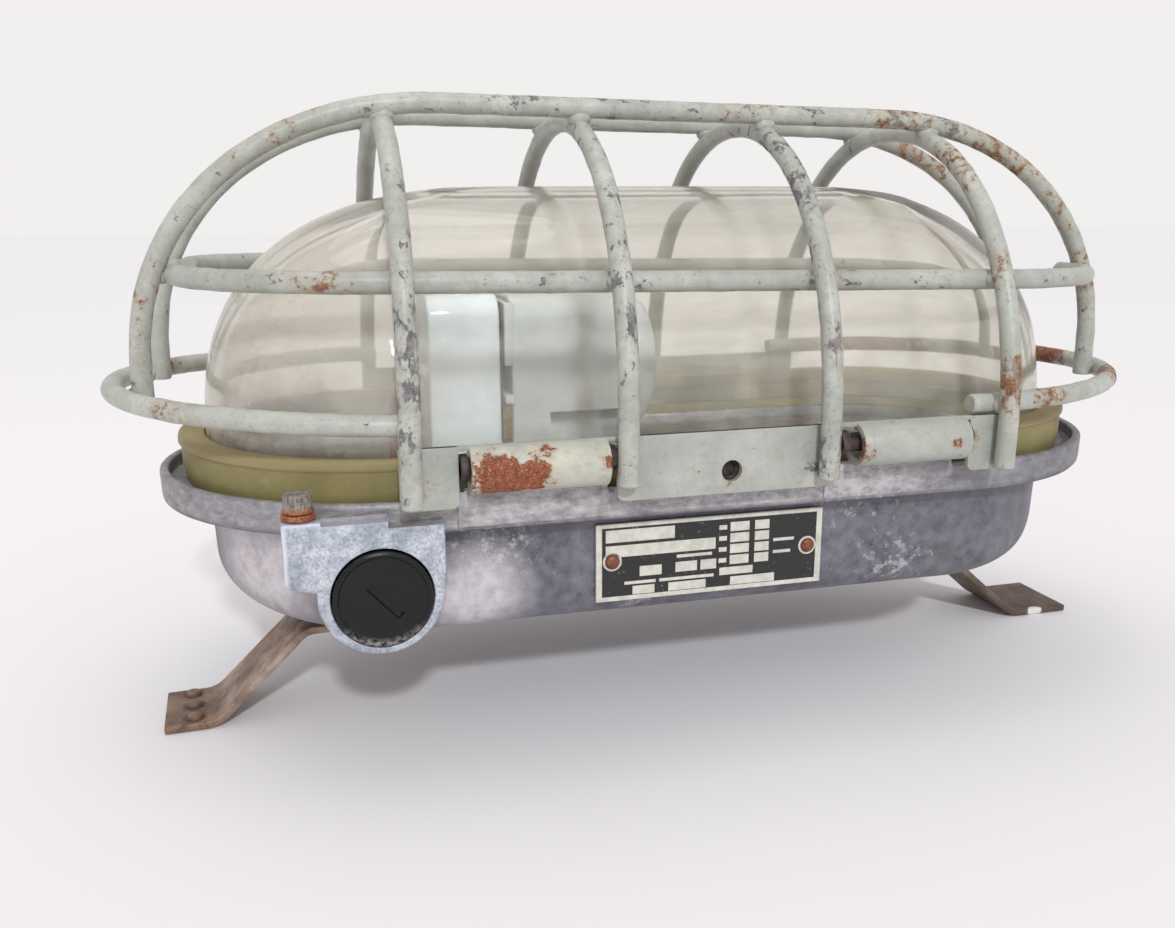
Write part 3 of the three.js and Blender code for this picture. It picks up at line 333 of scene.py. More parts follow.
def rusty_steel(name, bright=False):
    """Strip steel, brown with orange blooms; bright where the edges are rubbed."""
    n = Nodes(name)
    colour = n.mix(n.span(n.noise(12, 6, 0.65), 0.36, 0.64), srgb(98, 80, 68), srgb(150, 122, 102))
    colour = n.mix(n.span(n.noise(2.6, 8, 0.75), 0.5, 0.66, 0.0, 0.75), colour, srgb(68, 52, 44))
    bloom = n.span(n.noise(8, 8, 0.7), 0.56, 0.68, 0.0, 0.7)
    colour = n.mix(bloom, colour, srgb(156, 98, 62))
    if bright:
        rub = n.math("MULTIPLY", n.span(n.noise(14, 6, 0.65), 0.46, 0.62, 0.1, 0.75),
                     n.span(n.axis(2), 2.6 * MM, 6 * MM, 0.3, 1.0))
        colour = n.mix(rub, colour, srgb(186, 166, 152))
        bumps = ((-144.4, -4.0, 3.0), (-143.5, -12.4, 3.0), (-142.7, -20.8, 3.0))
        # Painted shade: a dark ring round the base of each of the three bumps on the left pad.
        ring = n.math("SUBTRACT", n.largest([n.near(spot, 3.0, 0.8) for spot in bumps]),
                      n.largest([n.near(spot, 1.7, 0.5) for spot in bumps]))
        colour = n.mix(n.math("MULTIPLY", ring, 0.55), colour, srgb(62, 42, 34))
        # The right foot is darker, beyond x = 100 mm.
        dull = n.math("MULTIPLY", n.above(0, 100, 120), 0.68)
        colour = n.mix(dull, colour, srgb(80, 70, 61))
        flake = n.near((148.0, -12.8, 1.4), 2.8, 0.6)
        colour = n.mix(n.math("MULTIPLY", flake, 0.95), colour, srgb(236, 233, 230))
    return n.surface({"Base Color": colour, "Metallic": 0.35,
                      "Roughness": n.span(n.noise(5, 5), 0.3, 0.7, 0.42, 0.72),
                      "Normal": n.bump(n.noise(2.0, 7, 0.75), 0.2, 0.8)})


def rusted_fixing(name, clean_from):
    """Screw and washer steel: rust at the foot, dull grey above the height clean_from."""
    n = Nodes(name)
    dull = n.mix(n.span(n.noise(1.0, 6, 0.75, (1.6, 1.6, 0.4)), 0.42, 0.58), srgb(96, 96, 92), srgb(164, 166, 158))
    rust = n.mix(n.span(n.noise(1.0, 7, 0.75), 0.4, 0.6), srgb(118, 62, 40), srgb(190, 122, 82))
    pale = n.span(n.noise(0.8, 6, 0.8), 0.56, 0.68, 0.0, 0.6)
    rust = n.mix(pale, rust, srgb(176, 160, 142))
    height = n.math("ADD", n.axis(2), n.math("MULTIPLY", n.math("SUBTRACT", n.noise(2.2, 6, 0.7), 0.5), 4 * MM))
    amount = n.span(height, clean_from * MM, (clean_from + 1.4) * MM, 1.0, 0.12)
    return n.surface({"Base Color": n.mix(amount, dull, rust), "Metallic": 0.25, "Roughness": 0.72,
                      "Normal": n.bump(n.noise(1.0, 6, 0.8), 0.18, 0.9)})


def plain_metal(name, dark, light, roughness, metallic=0.9):
    n = Nodes(name)
    colour = n.mix(n.span(n.noise(3, 6, 0.7), 0.38, 0.64), dark, light)
    return n.surface({"Base Color": colour, "Metallic": metallic,
                      "Roughness": n.span(n.noise(5, 4), 0.3, 0.7, roughness - 0.08, roughness + 0.12),
                      "Normal": n.bump(n.noise(1.4, 5, 0.7), 0.06, 0.6)})


def black_plastic(name):
    n = Nodes(name)
    colour = n.mix(n.span(n.noise(2.2, 8, 0.75), 0.55, 0.78, 0.0, 0.6), srgb(13, 12, 14), srgb(38, 35, 38))
    x, y, z = GLAND["x"], GLAND["face"], GLAND["z"]
    inside = n.near((x, y, z + 1.6), 11.6, 1.6)
    low = n.math("MULTIPLY", n.math("SUBTRACT", 1.0, inside), n.math("SUBTRACT", 1.0, n.above(2, z - 10, z - 6)))
    dust = n.math("MULTIPLY", low, n.span(n.noise(1.5, 6, 0.7), 0.42, 0.62, 0.0, 0.7))
    colour = n.mix(dust, colour, srgb(176, 172, 172))
    return n.surface({"Base Color": colour, "Roughness": n.span(n.noise(4, 7, 0.7), 0.35, 0.7, 0.2, 0.42),
                      "IOR": 1.4, "Normal": n.bump(n.noise(1.8, 6, 0.7), 0.08, 0.8)})


def stained_enamel(name):
    """The carrier plate's dull white face, dark with dirt at the left end."""
    n = Nodes(name)
    colour = n.mix(n.span(n.noise(9, 6, 0.7), 0.38, 0.64), srgb(150, 146, 142), srgb(186, 182, 178))
    left = n.span(n.axis(0), -88 * MM, -70 * MM, 0.85, 0.25)
    dirt = n.math("MULTIPLY", left, n.span(n.noise(7, 7, 0.75), 0.34, 0.6))
    colour = n.mix(dirt, colour, srgb(84, 78, 72))
    return n.surface({"Base Color": colour, "Metallic": 0.4, "Roughness": 0.3,
                      "Normal": n.bump(n.noise(3.0, 5, 0.7), 0.06, 0.6)})


def simple(name, low, high, size, roughness, bump=0.05, ior=1.5):
    """Two close tones of one finish."""
    n = Nodes(name)
    colour = n.mix(n.span(n.noise(size, 6, 0.65), 0.36, 0.66), low, high)
    return n.surface({"Base Color": colour, "Roughness": roughness, "IOR": ior,
                      "Normal": n.bump(n.noise(size * 0.4, 5, 0.7), bump, 0.6)})


def paper(name):
    """The studio's pale paper, whiter away from the lamp: painted light that brings the far floor up to the
    background's brightness.
    """
    n = Nodes(name)
    away = n.add("ShaderNodeVectorMath", {0: n.coords}, operation="LENGTH").outputs["Value"]
    colour = n.mix(n.span(away, 0.22, 1.3), srgb(241, 238, 239), srgb(248, 246, 245))
    return n.surface({"Base Color": colour, "Roughness": 0.7, "IOR": 1.35})


def nameplate_ink(name):
    n = Nodes(name)
    rubbed = n.span(n.noise(1.3, 9, 0.8), 0.6, 0.66)
    colour = n.mix(n.math("MULTIPLY", rubbed, 0.75), srgb(34, 33, 34), srgb(176, 172, 158))
    return n.surface({"Base Color": colour, "Roughness": 0.38, "IOR": 1.5,
                      "Normal": n.bump(n.noise(1.0, 5), 0.03, 0.5)})


MATERIALS = {
    "paint": guard_paint("paint", chips=0.01),
    "paint_front": guard_paint("paint_front", along=(1.0, 0.8, 0.5), chips=0.02, chip_spots=(
        ((-80, -72, 100), 34, 0.085), ((-80, -60, 138), 34, 0.06), ((-26, -74, 92), 22, 0.06),
        ((-26, -62, 138), 34, 0.07), ((30, -74, 92), 26, 0.085), ((30, -60, 142), 34, 0.065),
        ((84, -70, 118), 30, 0.05), ((-26, -30, 166), 30, 0.05), ((30, -30, 166), 30, 0.05)),
        rust_spots=(((84, -76, 98), 12, 0.85), ((83, -66, 129), 9, 0.6), ((82, -40, 158), 20, 0.6),
                    ((30, -73, 112), 6, 0.5))),
    "paint_top": guard_paint("paint_top", chips=0.04, chip_spots=(
        ((-20, -23, 175), 40, 0.04), ((74, -23, 172), 34, 0.07)),
        rust_spots=(((112, -23, 166), 26, 0.66), ((72, -23, 173), 18, 0.6), ((134, -23, 148), 16, 0.5),
                    ((143, -23, 124), 14, 0.66), ((-110, -23, 165), 26, 0.34), ((20, -23, 174), 26, 0.3),
                    ((-143, -23, 120), 22, 0.36))),
    "paint_back": guard_paint("paint_back", chips=0.015,
                              rust_spots=(((112, 23, 165), 26, 0.62), ((140, 23, 130), 18, 0.5))),
    "paint_ring_right": guard_paint("paint_ring_right", chips=0.02, rust_spots=(
        ((148, -46, 95), 18, 0.95), ((158, 12, 95), 22, 1.0), ((116, 64, 94), 34, 1.0),
        ((100, -70, 94), 9, 0.75))),
    "paint_ring_left": guard_paint("paint_ring_left", chips=0.01, rust_spots=(
        ((-128, 60, 97), 26, 0.8), ((-150, 30, 97), 16, 0.6), ((-140, -50, 97), 16, 0.45))),
    "paint_rod": guard_paint("paint_rod", dusk=0.2, chips=0.025, rust_spots=(
        ((-100, -58, 126), 16, 0.55), ((-96, 61, 127), 24, 0.75), ((34, -63, 128), 6, 0.5),
        ((112, -50, 128), 10, 0.5)), chip_spots=(((30, -61, 126), 14, 0.07), ((-60, -61, 126), 20, 0.05))),
    "paint_strip": guard_paint("paint_strip", dusk=0.3, chip_spots=(((28, -72, 78), 9, 0.06), ((-4, -72, 74), 7, 0.06)),
                               rust_spots=(((2, -72, 77), 5, 0.45), ((-80, -72, 80), 7, 0.4),
                                           ((-31, -73, 82), 6, 0.7), ((73, -72, 82), 5, 0.5))),
    "paint_knuckle": guard_paint("paint_knuckle", red=True, cream=0.6, dusk=0.35, rust_spots=(
        ((-61.0, -77, 80.8), 10.5, 1.25), ((-54.0, -77, 81.5), 8.0, 1.2), ((-34, -77, 84), 3.2, 0.9),
        ((-49, -75, 87), 4, 0.8), ((38, -76, 83), 5, 0.8), ((66, -77, 83), 2.6, 0.7))),
    "cast": casting("cast", face=True),
    "gasket": gasket_rubber("gasket_rubber"),
    "glass": clear_glass("clear_glass"),
    "foot": rusty_steel("foot_steel", bright=True),
    "earth_head": rusted_fixing("earth_head", 75.0),
    "earth_washer": rusted_fixing("earth_washer", 78.0),
    "zinc": plain_metal("zinc", srgb(120, 118, 114), srgb(170, 168, 164), 0.42),
    "dark_steel": plain_metal("dark_steel", srgb(58, 50, 50), srgb(96, 84, 80), 0.6, 0.6),
    "brass": plain_metal("brass", srgb(142, 112, 62), srgb(190, 160, 104), 0.36),
    "copper": plain_metal("copper", srgb(98, 60, 46), srgb(150, 96, 74), 0.5, 0.5),
    "plug": black_plastic("black_plastic"),
    "seal": simple("seal_rubber", srgb(30, 29, 30), srgb(48, 46, 47), 3, 0.75),
    "ceramic": simple("ceramic", srgb(208, 215, 222), srgb(226, 233, 240), 20, 0.14, 0.04, 1.55),
    # A darker copy of the ceramic for the holder's front block: painted shade.
    "ceramic_front_painted_shade": simple("ceramic_front_painted_shade", srgb(176, 180, 181), srgb(198, 202, 203), 20, 0.2, 0.04, 1.55),
    "enamel": stained_enamel("plate_enamel"),
    "lead": simple("lead_sleeve", srgb(104, 62, 48), srgb(134, 84, 62), 2, 0.7),
    "plate_metal": plain_metal("plate_metal", srgb(196, 193, 182), srgb(222, 219, 208), 0.48, 0.2),
    "ink": nameplate_ink("nameplate_ink"),
    "floor": paper("floor"),
}
SLOT_MATERIAL = {
    "casting": "cast", "guard_paint": "paint", "rusty_steel": "foot", "rusty_fixings": "earth_head",
    "zinc_steel": "zinc", "brass": "brass", "copper": "copper", "gasket_rubber": "gasket",
    "black_plastic": "plug", "black_rubber": "seal", "ceramic": "ceramic", "clear_glass": "glass",
    "white_enamel": "enamel", "nameplate": "plate_metal", "lead_insulation": "lead",
}


# ------------------------------------------------------------------ mesh helpers

def place(point):
    x, y, z = point
    return Vector(((x - ORIGIN_X) * MM, y * MM, z * MM))


def leaned(x, y, z):
    rise = z - LEAN_Z
    return Vector((x * math.cos(LEAN) + rise * math.sin(LEAN), y,
                   LEAN_Z - x * math.sin(LEAN) + rise * math.cos(LEAN)))


def to_object(name, bm, material, sharp=35.0):
    """Turns a bmesh in millimetres into an object in the model's frame."""
    bmesh.ops.recalc_face_normals(bm, faces=bm.faces)
    for vertex in bm.verts:
        vertex.co = place(vertex.co)
    mesh = bpy.data.meshes.new(name)
    bm.to_mesh(mesh)
    bm.free()
    piece = bpy.data.objects.new(name, mesh)
    bpy.context.scene.collection.objects.link(piece)
    mesh.materials.append(MATERIALS[material])
    shade(piece, sharp)
    return piece


def shade(piece, sharp=35.0):
    piece.data.shade_smooth()
    piece.data.set_sharp_from_angle(angle=math.radians(sharp))


def finish(piece, body, slot, *nodes):
    """Puts a finished piece on its body and hides the nodes it stands for; the slot is not used."""
    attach(piece, body)
    if nodes:
        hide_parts(*nodes)
    return piece


def resampled(points, step):
    """Points at equal steps along a line of points."""
    lengths = [0.0]
    for a, b in zip(points, points[1:]):
        lengths.append(lengths[-1] + (b - a).length)
    count = max(int(round(lengths[-1] / step)), 2)
    result, k = [], 0
    for i in range(count + 1):
        target = lengths[-1] * i / count
        while k < len(points) - 2 and lengths[k + 1] < target:
            k += 1
        share = (target - lengths[k]) / max(lengths[k + 1] - lengths[k], 1e-9)
        result.append(points[k].lerp(points[k + 1], min(max(share, 0.0), 1.0)))
    return result


def tube(bm, points, radius, sides=20, rough=0.0, seed=0.0, chamfer=0.35):
    """Round wire along a line, with cut ends that have a small chamfer."""
    tangents = []
    for i in range(len(points)):
        ahead, back = points[min(i + 1, len(points) - 1)], points[max(i - 1, 0)]
        tangents.append((ahead - back).normalized())
    normal = tangents[0].orthogonal().normalized()
    stations = []
    for i, (point, tangent) in enumerate(zip(points, tangents)):
        normal = (normal - tangent * normal.dot(tangent)).normalized()
        stations.append((point, tangent, normal.copy(), radius))
    first, last = stations[0], stations[-1]
    inner_first = (first[0] + first[1] * chamfer, first[1], first[2], radius)
    inner_last = (last[0] - last[1] * chamfer, last[1], last[2], radius)
    stations = ([(first[0], first[1], first[2], radius - chamfer), inner_first] + stations[1:-1]
                + [inner_last, (last[0], last[1], last[2], radius - chamfer)])
    rings = []
    for point, tangent, normal, r in stations:
        side = tangent.cross(normal)
        ring = []
        for k in range(sides):
            angle = 2 * math.pi * k / sides
            out = normal * math.cos(angle) + side * math.sin(angle)
            swell = rough * noise.noise((point + out * radius) * 0.22 + Vector((seed, 0, 0)))
            ring.append(bm.verts.new(point + out * (r + swell)))
        rings.append(ring)
    for a, b in zip(rings, rings[1:]):
        for k in range(sides):
            bm.faces.new((a[k], a[(k + 1) % sides], b[(k + 1) % sides], b[k]))
    bm.faces.new(list(reversed(rings[0])))
    bm.faces.new(rings[-1])


def blob(bm, centre, along, size, seed):
    """A lump of weld: a small ball, drawn out along one direction and made uneven."""
    along = Vector(along).normalized()
    made = bmesh.ops.create_icosphere(bm, subdivisions=3, radius=1.0)["verts"]
    for vertex in made:
        out = vertex.co.copy()
        uneven = 1.0 + 0.16 * noise.noise(out * 1.7 + Vector((seed, seed * 0.37, 0)))
        reach = out * size[1] + along * (out.dot(along) * (size[0] - size[1]))
        vertex.co = Vector(centre) + reach * uneven


def oval_ring(level, ends, sides):
    """Points round one oval: half length l, half width w, half length of the straight s."""
    l, w, s = level["l"], level["w"], level["s"]
    centre = level.get("centre", CASTING_X)
    end = l - s
    points = []
    for sign in (1, -1):
        for k in range(ends):
            angle = -math.pi / 2 + math.pi * k / ends
            points.append((centre + sign * (s + end * math.cos(angle)), sign * w * math.sin(angle)))
        for k in range(sides):
            share = k / sides
            points.append((centre + sign * s * (1 - 2 * share), sign * w))
    return points


def rounded_levels(levels, steps=3):
    """Replaces each level that has a radius r by points round a corner."""
    result = []
    for i, level in enumerate(levels):
        r = level.get("r", 0)
        if not r:
            result.append(level)
            continue
        near = []
        for other in (levels[i - 1], levels[(i + 1) % len(levels)]):
            length = math.hypot(other["l"] - level["l"], other["z"] - level["z"])
            near.append((other, min(r / max(length, 1e-6), 0.5)))
        for k in range(steps + 1):
            t = k / steps
            blended = {}
            for key in ("l", "w", "s", "z", "centre"):
                here = level.get(key, CASTING_X)
                a = here + (near[0][0].get(key, CASTING_X) - here) * near[0][1]
                b = here + (near[1][0].get(key, CASTING_X) - here) * near[1][1]
                blended[key] = (1 - t) ** 2 * a + 2 * t * (1 - t) * here + t * t * b
            result.append(blended)
    return result


def oval_lathe(bm, levels, ends=48, sides=40, closed=False):
    """A turned shape drawn out into ovals; a level with l = 0 is a point on the axis."""
    rings = []
    for level in levels:
        if level["l"] == 0:
            rings.append([bm.verts.new((level.get("centre", CASTING_X), 0, level["z"]))])
        else:
            rings.append([bm.verts.new((x, y, level["z"])) for x, y in oval_ring(level, ends, sides)])
    pairs = list(zip(rings, rings[1:]))
    if closed:
        pairs.append((rings[-1], rings[0]))
    count = 2 * (ends + sides)
    for a, b in pairs:
        for k in range(count):
            nxt = (k + 1) % count
            if len(a) == 1:
                bm.faces.new((a[0], b[nxt], b[k]))
            elif len(b) == 1:
                bm.faces.new((a[k], a[nxt], b[0]))
            else:
                bm.faces.new((a[k], a[nxt], b[nxt], b[k]))


def arc(cx, cy, radius, start, end, steps):
    return [(cx + radius * math.cos(math.radians(start + (end - start) * i / steps)),
             cy + radius * math.sin(math.radians(start + (end - start) * i / steps)))
            for i in range(steps + 1)]


def prism(bm, axis, outline, low, high, bevel=0.0, segments=2):
    """A flat outline given a thickness along one axis, with its edges rounded."""
    def corner(u, v, t):
        return {"x": (t, u, v), "y": (u, t, v), "z": (u, v, t)}[axis]
    lower = [bm.verts.new(corner(u, v, low)) for u, v in outline]
    upper = [bm.verts.new(corner(u, v, high)) for u, v in outline]
    faces = [bm.faces.new(lower), bm.faces.new(list(reversed(upper)))]
    count = len(outline)
    for k in range(count):
        faces.append(bm.faces.new((lower[k], upper[k], upper[(k + 1) % count], lower[(k + 1) % count])))
    bmesh.ops.recalc_face_normals(bm, faces=faces)
    if bevel:
        edges = {e for f in faces for e in f.edges
                 if len(e.link_faces) == 2 and e.calc_face_angle(0.0) > math.radians(28)}
        bmesh.ops.bevel(bm, geom=list(edges), offset=bevel, segments=segments, profile=0.5,
                        affect="EDGES", clamp_overlap=True)


def turned(bm, axis, profile, a, b, sides=40):
    """A turned shape: (radius, distance) points, first and last on the axis."""
    def corner(r, t, angle):
        u, v = a + r * math.cos(angle), b + r * math.sin(angle)
        return {"x": (t, u, v), "y": (u, t, v), "z": (u, v, t)}[axis]
    rings = []
    for r, t in profile:
        steps = 1 if r == 0 else sides
        rings.append([bm.verts.new(corner(r, t, 2 * math.pi * k / sides)) for k in range(steps)])
    for low, high in zip(rings, rings[1:]):
        for k in range(sides):
            nxt = (k + 1) % sides
            face = [low[k % len(low)], low[nxt % len(low)], high[nxt % len(high)], high[k % len(high)]]
            face = list(dict.fromkeys(face))
            if len(face) > 2:
                bm.faces.new(face)


def block(bm, x0, x1, y0, y1, z0, z1, bevel=0.0, segments=2):
    prism(bm, "z", [(x0, y0), (x1, y0), (x1, y1), (x0, y1)], z0, z1, bevel, segments)


def cut(piece, operation, make, sharp=35.0):
    """Joins or cuts a shape, made by make(bm) in millimetres, with a piece."""
    bm = bmesh.new()
    make(bm)
    tool = to_object("tool", bm, "cast")
    modifier = piece.modifiers.new("join", "BOOLEAN")
    modifier.operation = operation
    modifier.solver = "EXACT"
    modifier.object = tool
    bpy.context.view_layer.update()
    graph = bpy.context.evaluated_depsgraph_get()
    mesh = bpy.data.meshes.new_from_object(piece.evaluated_get(graph))
    piece.modifiers.clear()
    old = piece.data
    piece.data = mesh
    bpy.data.meshes.remove(old)
    bpy.data.objects.remove(tool)
    shade(piece, sharp)


def make(name, material, *builders, sharp=35.0):
    bm = bmesh.new()
    for builder in builders:
        builder(bm)
    return to_object(name, bm, material, sharp)


# ------------------------------------------------------------------ guard wires

def arch_points(half, corner, foot, spring, top, power, to_point, steps=60):
    """An arch from one foot over the top to the other."""
    side = [(half, foot), (half, (foot + spring) / 2)]
    for i in range(steps + 1):
        angle = i / steps * math.pi / 2
        side.append((half - corner + corner * max(math.cos(angle), 0) ** (2 / power),
                     spring + (top - spring) * math.sin(angle) ** (2 / power)))
    left = [to_point(-across, z) for across, z in side]
    right = [to_point(across, z) for across, z in reversed(side)]
    return left + right[(1 if corner >= half else 0):]


def build_guard_wires():
    h = LONG_HOOP
    for label, sign, material in (("front", -1, "paint_top"), ("back", 1, "paint_back")):
        line = arch_points(h["half"], h["corner"], h["foot"], h["spring"], h["top"], h["power"],
                           lambda x, z: leaned(x, sign * h["y"], z))
        piece = make(f"wire_long_{label}", material,
                     lambda bm: tube(bm, resampled(line, 1.6), WIRE, rough=0.16, seed=3.0 * sign))
        finish(piece, "guard", "guard_paint", f"guard_long_hoop_{label}")

    c = CROSS_HOOP
    for i, (x, foot) in enumerate(zip(CROSS_X, CROSS_FOOT)):
        line = arch_points(c["half"], c["half"], foot, c["spring"], c["top"], c["power"],
                           lambda y, z: leaned(x, y, z))
        piece = make(f"wire_cross_{i + 1}", "paint_front",
                     lambda bm: tube(bm, resampled(line, 1.6), WIRE, rough=0.16, seed=11.0 + i))
        finish(piece, "guard", "guard_paint", f"guard_cross_hoop_{i + 1}")

    reach = RING["length"] - RING["centre"]
    for label, side, end_x in (("left", -1, RING_END[0]), ("right", 1, RING_END[1])):
        half = [(end_x, RING["width"], RING["low"])]
        for k in range(25):
            angle = k / 24 * math.pi / 2
            x = RING["centre"] + reach * math.sin(angle)
            if x > end_x + 0.1:
                half.append((x, RING["width"] * math.cos(angle),
                             RING["z"] - (RING["z"] - RING["low"]) * (1 - math.sin(angle))))
        front = [leaned(side * x, -y, z) for x, y, z in half]
        back = [leaned(side * x, y, z) for x, y, z in reversed(half[:-1])]
        piece = make(f"wire_ring_{label}", f"paint_ring_{label}",
                     lambda bm: tube(bm, resampled(front + back, 1.6), WIRE, rough=0.14, seed=21.0 + side))
        finish(piece, "guard", "guard_paint", f"guard_ring_{label}")

    r = SIDE_ROD
    end_y = LONG_HOOP["y"] - 4
    for label, sign in (("front", -1), ("back", 1)):
        half = []
        for k in range(20):
            angle = k / 19 * math.pi / 2
            half.append((r["straight"] + (r["end"] - r["straight"]) * math.cos(angle),
                         end_y + (r["width"] - end_y) * math.sin(angle)))
        line = ([leaned(-x, sign * y, r["z"]) for x, y in half]
                + [leaned(x, sign * y, r["z"]) for x, y in reversed(half)])
        piece = make(f"wire_side_{label}", "paint_rod",
                     lambda bm: tube(bm, resampled(line, 1.6), WIRE, rough=0.12, seed=31.0 + sign))
        finish(piece, "guard", "guard_paint", f"guard_side_rod_{label}")


def cross_hoop_y(z):
    c = CROSS_HOOP
    up = min(max((z - c["spring"]) / (c["top"] - c["spring"]), 0.0), 1.0)
    return c["half"] * (1 - up ** c["power"]) ** (1 / c["power"])


def build_welds():
    """The beads of weld where wires cross."""
    bm = bmesh.new()
    seed = 0.0
    rod_z = SIDE_ROD["z"]
    for x in CROSS_X:
        for sign in (-1, 1):
            seed += 1.3
            y = (cross_hoop_y(rod_z) + SIDE_ROD["width"]) / 2
            blob(bm, leaned(x, sign * y, rod_z), (1, 0, 0), (3.2, 2.5), seed)
            y = (CROSS_HOOP["half"] + RING["width"]) / 2
            if abs(x) > 50:
                blob(bm, leaned(x, sign * y, RING["low"]), (1, 0, 0), (3.2, 2.3), seed + 0.4)
            top = 169.3 if abs(x) > 50 else 170.0
            blob(bm, leaned(x, sign * LONG_HOOP["y"], top), (1, 0, 0), (3.4, 2.6), seed + 0.7)
    for side in (-1, 1):
        for sign in (-1, 1):
            seed += 1.3
            blob(bm, leaned(side * 141.5, sign * 21.0, rod_z), (0, 1, 0), (3.0, 2.5), seed)
            blob(bm, leaned(side * 151.0, sign * 23.0, RING["z"] - 0.3), (0, 1, 0), (3.0, 2.4), seed + 0.5)
    piece = to_object("weld_beads", bm, "paint_rod", 60)
    finish(piece, "guard", "guard_paint")


# ------------------------------------------------------------------ guard strips

def plate_outline(x0, x1, z0, z1, r=2.0):
    return arc(x0 + r, z0 + r, r, 180, 270, 5) + arc(x1 - r, z0 + r, r, 270, 360, 5) + [(x1, z1), (x0, z1)]


def build_hinge_strip():
    front = -STRIP["y"] - STRIP["thick"] / 2
    back = front + STRIP["thick"]
    spans = ((STRIP["left"], SLOTS[0][0]), (SLOTS[0][1], SLOTS[1][0]), (SLOTS[1][1], STRIP["right"]))

    def plates(bm):
        for (x0, x1), z0 in zip(spans, STRIP_BOTTOM):
            prism(bm, "y", plate_outline(x0, x1, z0, STRIP["top"]), front, back, 0.4, 2)
        block(bm, STRIP["left"] + 3, STRIP["right"] - 3, front + 0.2, back, STRIP["web"], STRIP["top"], 0.2)

    piece = make("hinge_plates", "paint_strip", plates)
    cut(piece, "DIFFERENCE", lambda bm: turned(
        bm, "y", [(0, front - 2), (HOLE["r"], front - 2), (HOLE["r"], back + 2), (0, back + 2)],
        HOLE["x"], HOLE["z"], 40))
    finish(piece, "guard", "guard_paint", "hinge_strip")
    # Painted shade: a dark steel cup behind the hole in the strip, so that the hole reads dark.
    cup = make("strip_hole_shade_cup", "dark_steel", lambda bm: turned(
        bm, "y", [(0, back + 1.9), (4.0, back + 1.9), (4.4, back + 1.5), (4.4, back + 0.1), (2.9, back + 0.1),
                  (2.6, back + 0.5), (2.0, back + 0.9), (1.9, back + 1.5), (0, back + 1.6)],
        HOLE["x"], HOLE["z"], 36))
    finish(cup, "guard", "guard_paint")

    def rolls(bm):
        for x0, x1 in KNUCKLES:
            outside = arc(HINGE["y"], HINGE["z"] - 0.3, HINGE["outer"] + 0.4, 75, 400, 52)
            inside = list(reversed(arc(HINGE["y"], HINGE["z"] - 0.1, HINGE["inner"], 75, 400, 52)))
            prism(bm, "x", outside + inside, x0, x1, 0.35, 2)
        for vertex in bm.verts:
            out = Vector((0, vertex.co.y - HINGE["y"], vertex.co.z - HINGE["z"]))
            bulge = noise.noise(vertex.co * 0.11) * 0.22
            vertex.co += out.normalized() * bulge

    knuckle = make("hinge_knuckles", "paint_knuckle", rolls)
    finish(knuckle, "guard", "guard_paint")

    inner = STRIP["y"] - STRIP["thick"] / 2
    lock = make("lock_plate", "paint", lambda bm: prism(
        bm, "y", plate_outline(STRIP["left"], STRIP["right"], STRIP_BOTTOM[0], STRIP["top"]),
        inner, inner + STRIP["thick"], 0.4, 2))
    cut(lock, "DIFFERENCE", lambda bm: turned(
        bm, "y", [(0, inner - 2), (HOLE["r"] + 0.3, inner - 2), (HOLE["r"] + 0.3, inner + 4), (0, inner + 4)],
        HOLE["x"], HOLE["z"], 40))
    finish(lock, "guard", "guard_paint", "lock_strip")


# ------------------------------------------------------------------ cast housing

def body_levels():
    levels = [dict(l=0, w=0, s=0, z=BODY["bottom"])]
    top = RIM["bottom"]
    for k in range(15):
        rise = BODY["end"] * (1 - math.cos(math.radians(k * 90 / 14)))
        def inset(radius):
            return 0.0 if rise >= radius else radius - math.sqrt(radius ** 2 - (radius - rise) ** 2)
        z = BODY["bottom"] + rise
        draft = BODY["draft"] * (top - z) / (top - BODY["bottom"])
        levels.append(dict(l=BODY["l"] - inset(BODY["end"]) - draft,
                           w=BODY["w"] - inset(BODY["side"]) - draft, s=BODY["s"], z=z))
    levels.append(dict(l=BODY["l"], w=BODY["w"], s=BODY["s"], z=top - 0.4, r=1.4))
    return levels


def tray_levels():
    c = RIM["centre"]

    def rim(inset, z, r=0.0):
        return dict(l=RIM["l"] - inset, w=RIM["w"] - inset, s=RIM["s"], z=z, centre=c, r=r)
    levels = body_levels() + [
        rim(0.3, RIM["bottom"], 1.5), rim(0, RIM["top"], 1.2), rim(RIM["wall"], RIM["top"], 0.8),
        rim(RIM["wall"], GROOVE["z"], 0.6),
        dict(l=GROOVE["l"], w=GROOVE["w"], s=GROOVE["s"], z=GROOVE["z"], r=1.0),
        dict(l=CAVITY["l"], w=CAVITY["w"], s=CAVITY["s"], z=CAVITY["z"] + 6, r=1.0),
        dict(l=CAVITY["l"] - 5, w=CAVITY["w"] - 5, s=CAVITY["s"] - 2, z=CAVITY["z"], r=1.0),
        dict(l=0, w=0, s=0, z=CAVITY["z"])]
    return rounded_levels(levels)


def boss_outline():
    b = BOSS
    start = 180 - math.degrees(math.asin((b["step"] - 3 - b["z"]) / b["r"]))
    return ([(b["left"], b["shelf"]), (b["left"], b["step"]), (b["left"] + 1.2, b["step"] - 1.6),
             (b["left"] + 6.4, b["step"] - 3)] + arc(b["x"], b["z"], b["r"], start, 358, 56)
            + [(b["right"], b["z"] + 1), (b["right"], b["shelf"])])


def add_boss(bm):
    prism(bm, "y", boss_outline(), BOSS["front"], -BODY["w"] + 14, 0.8, 3)


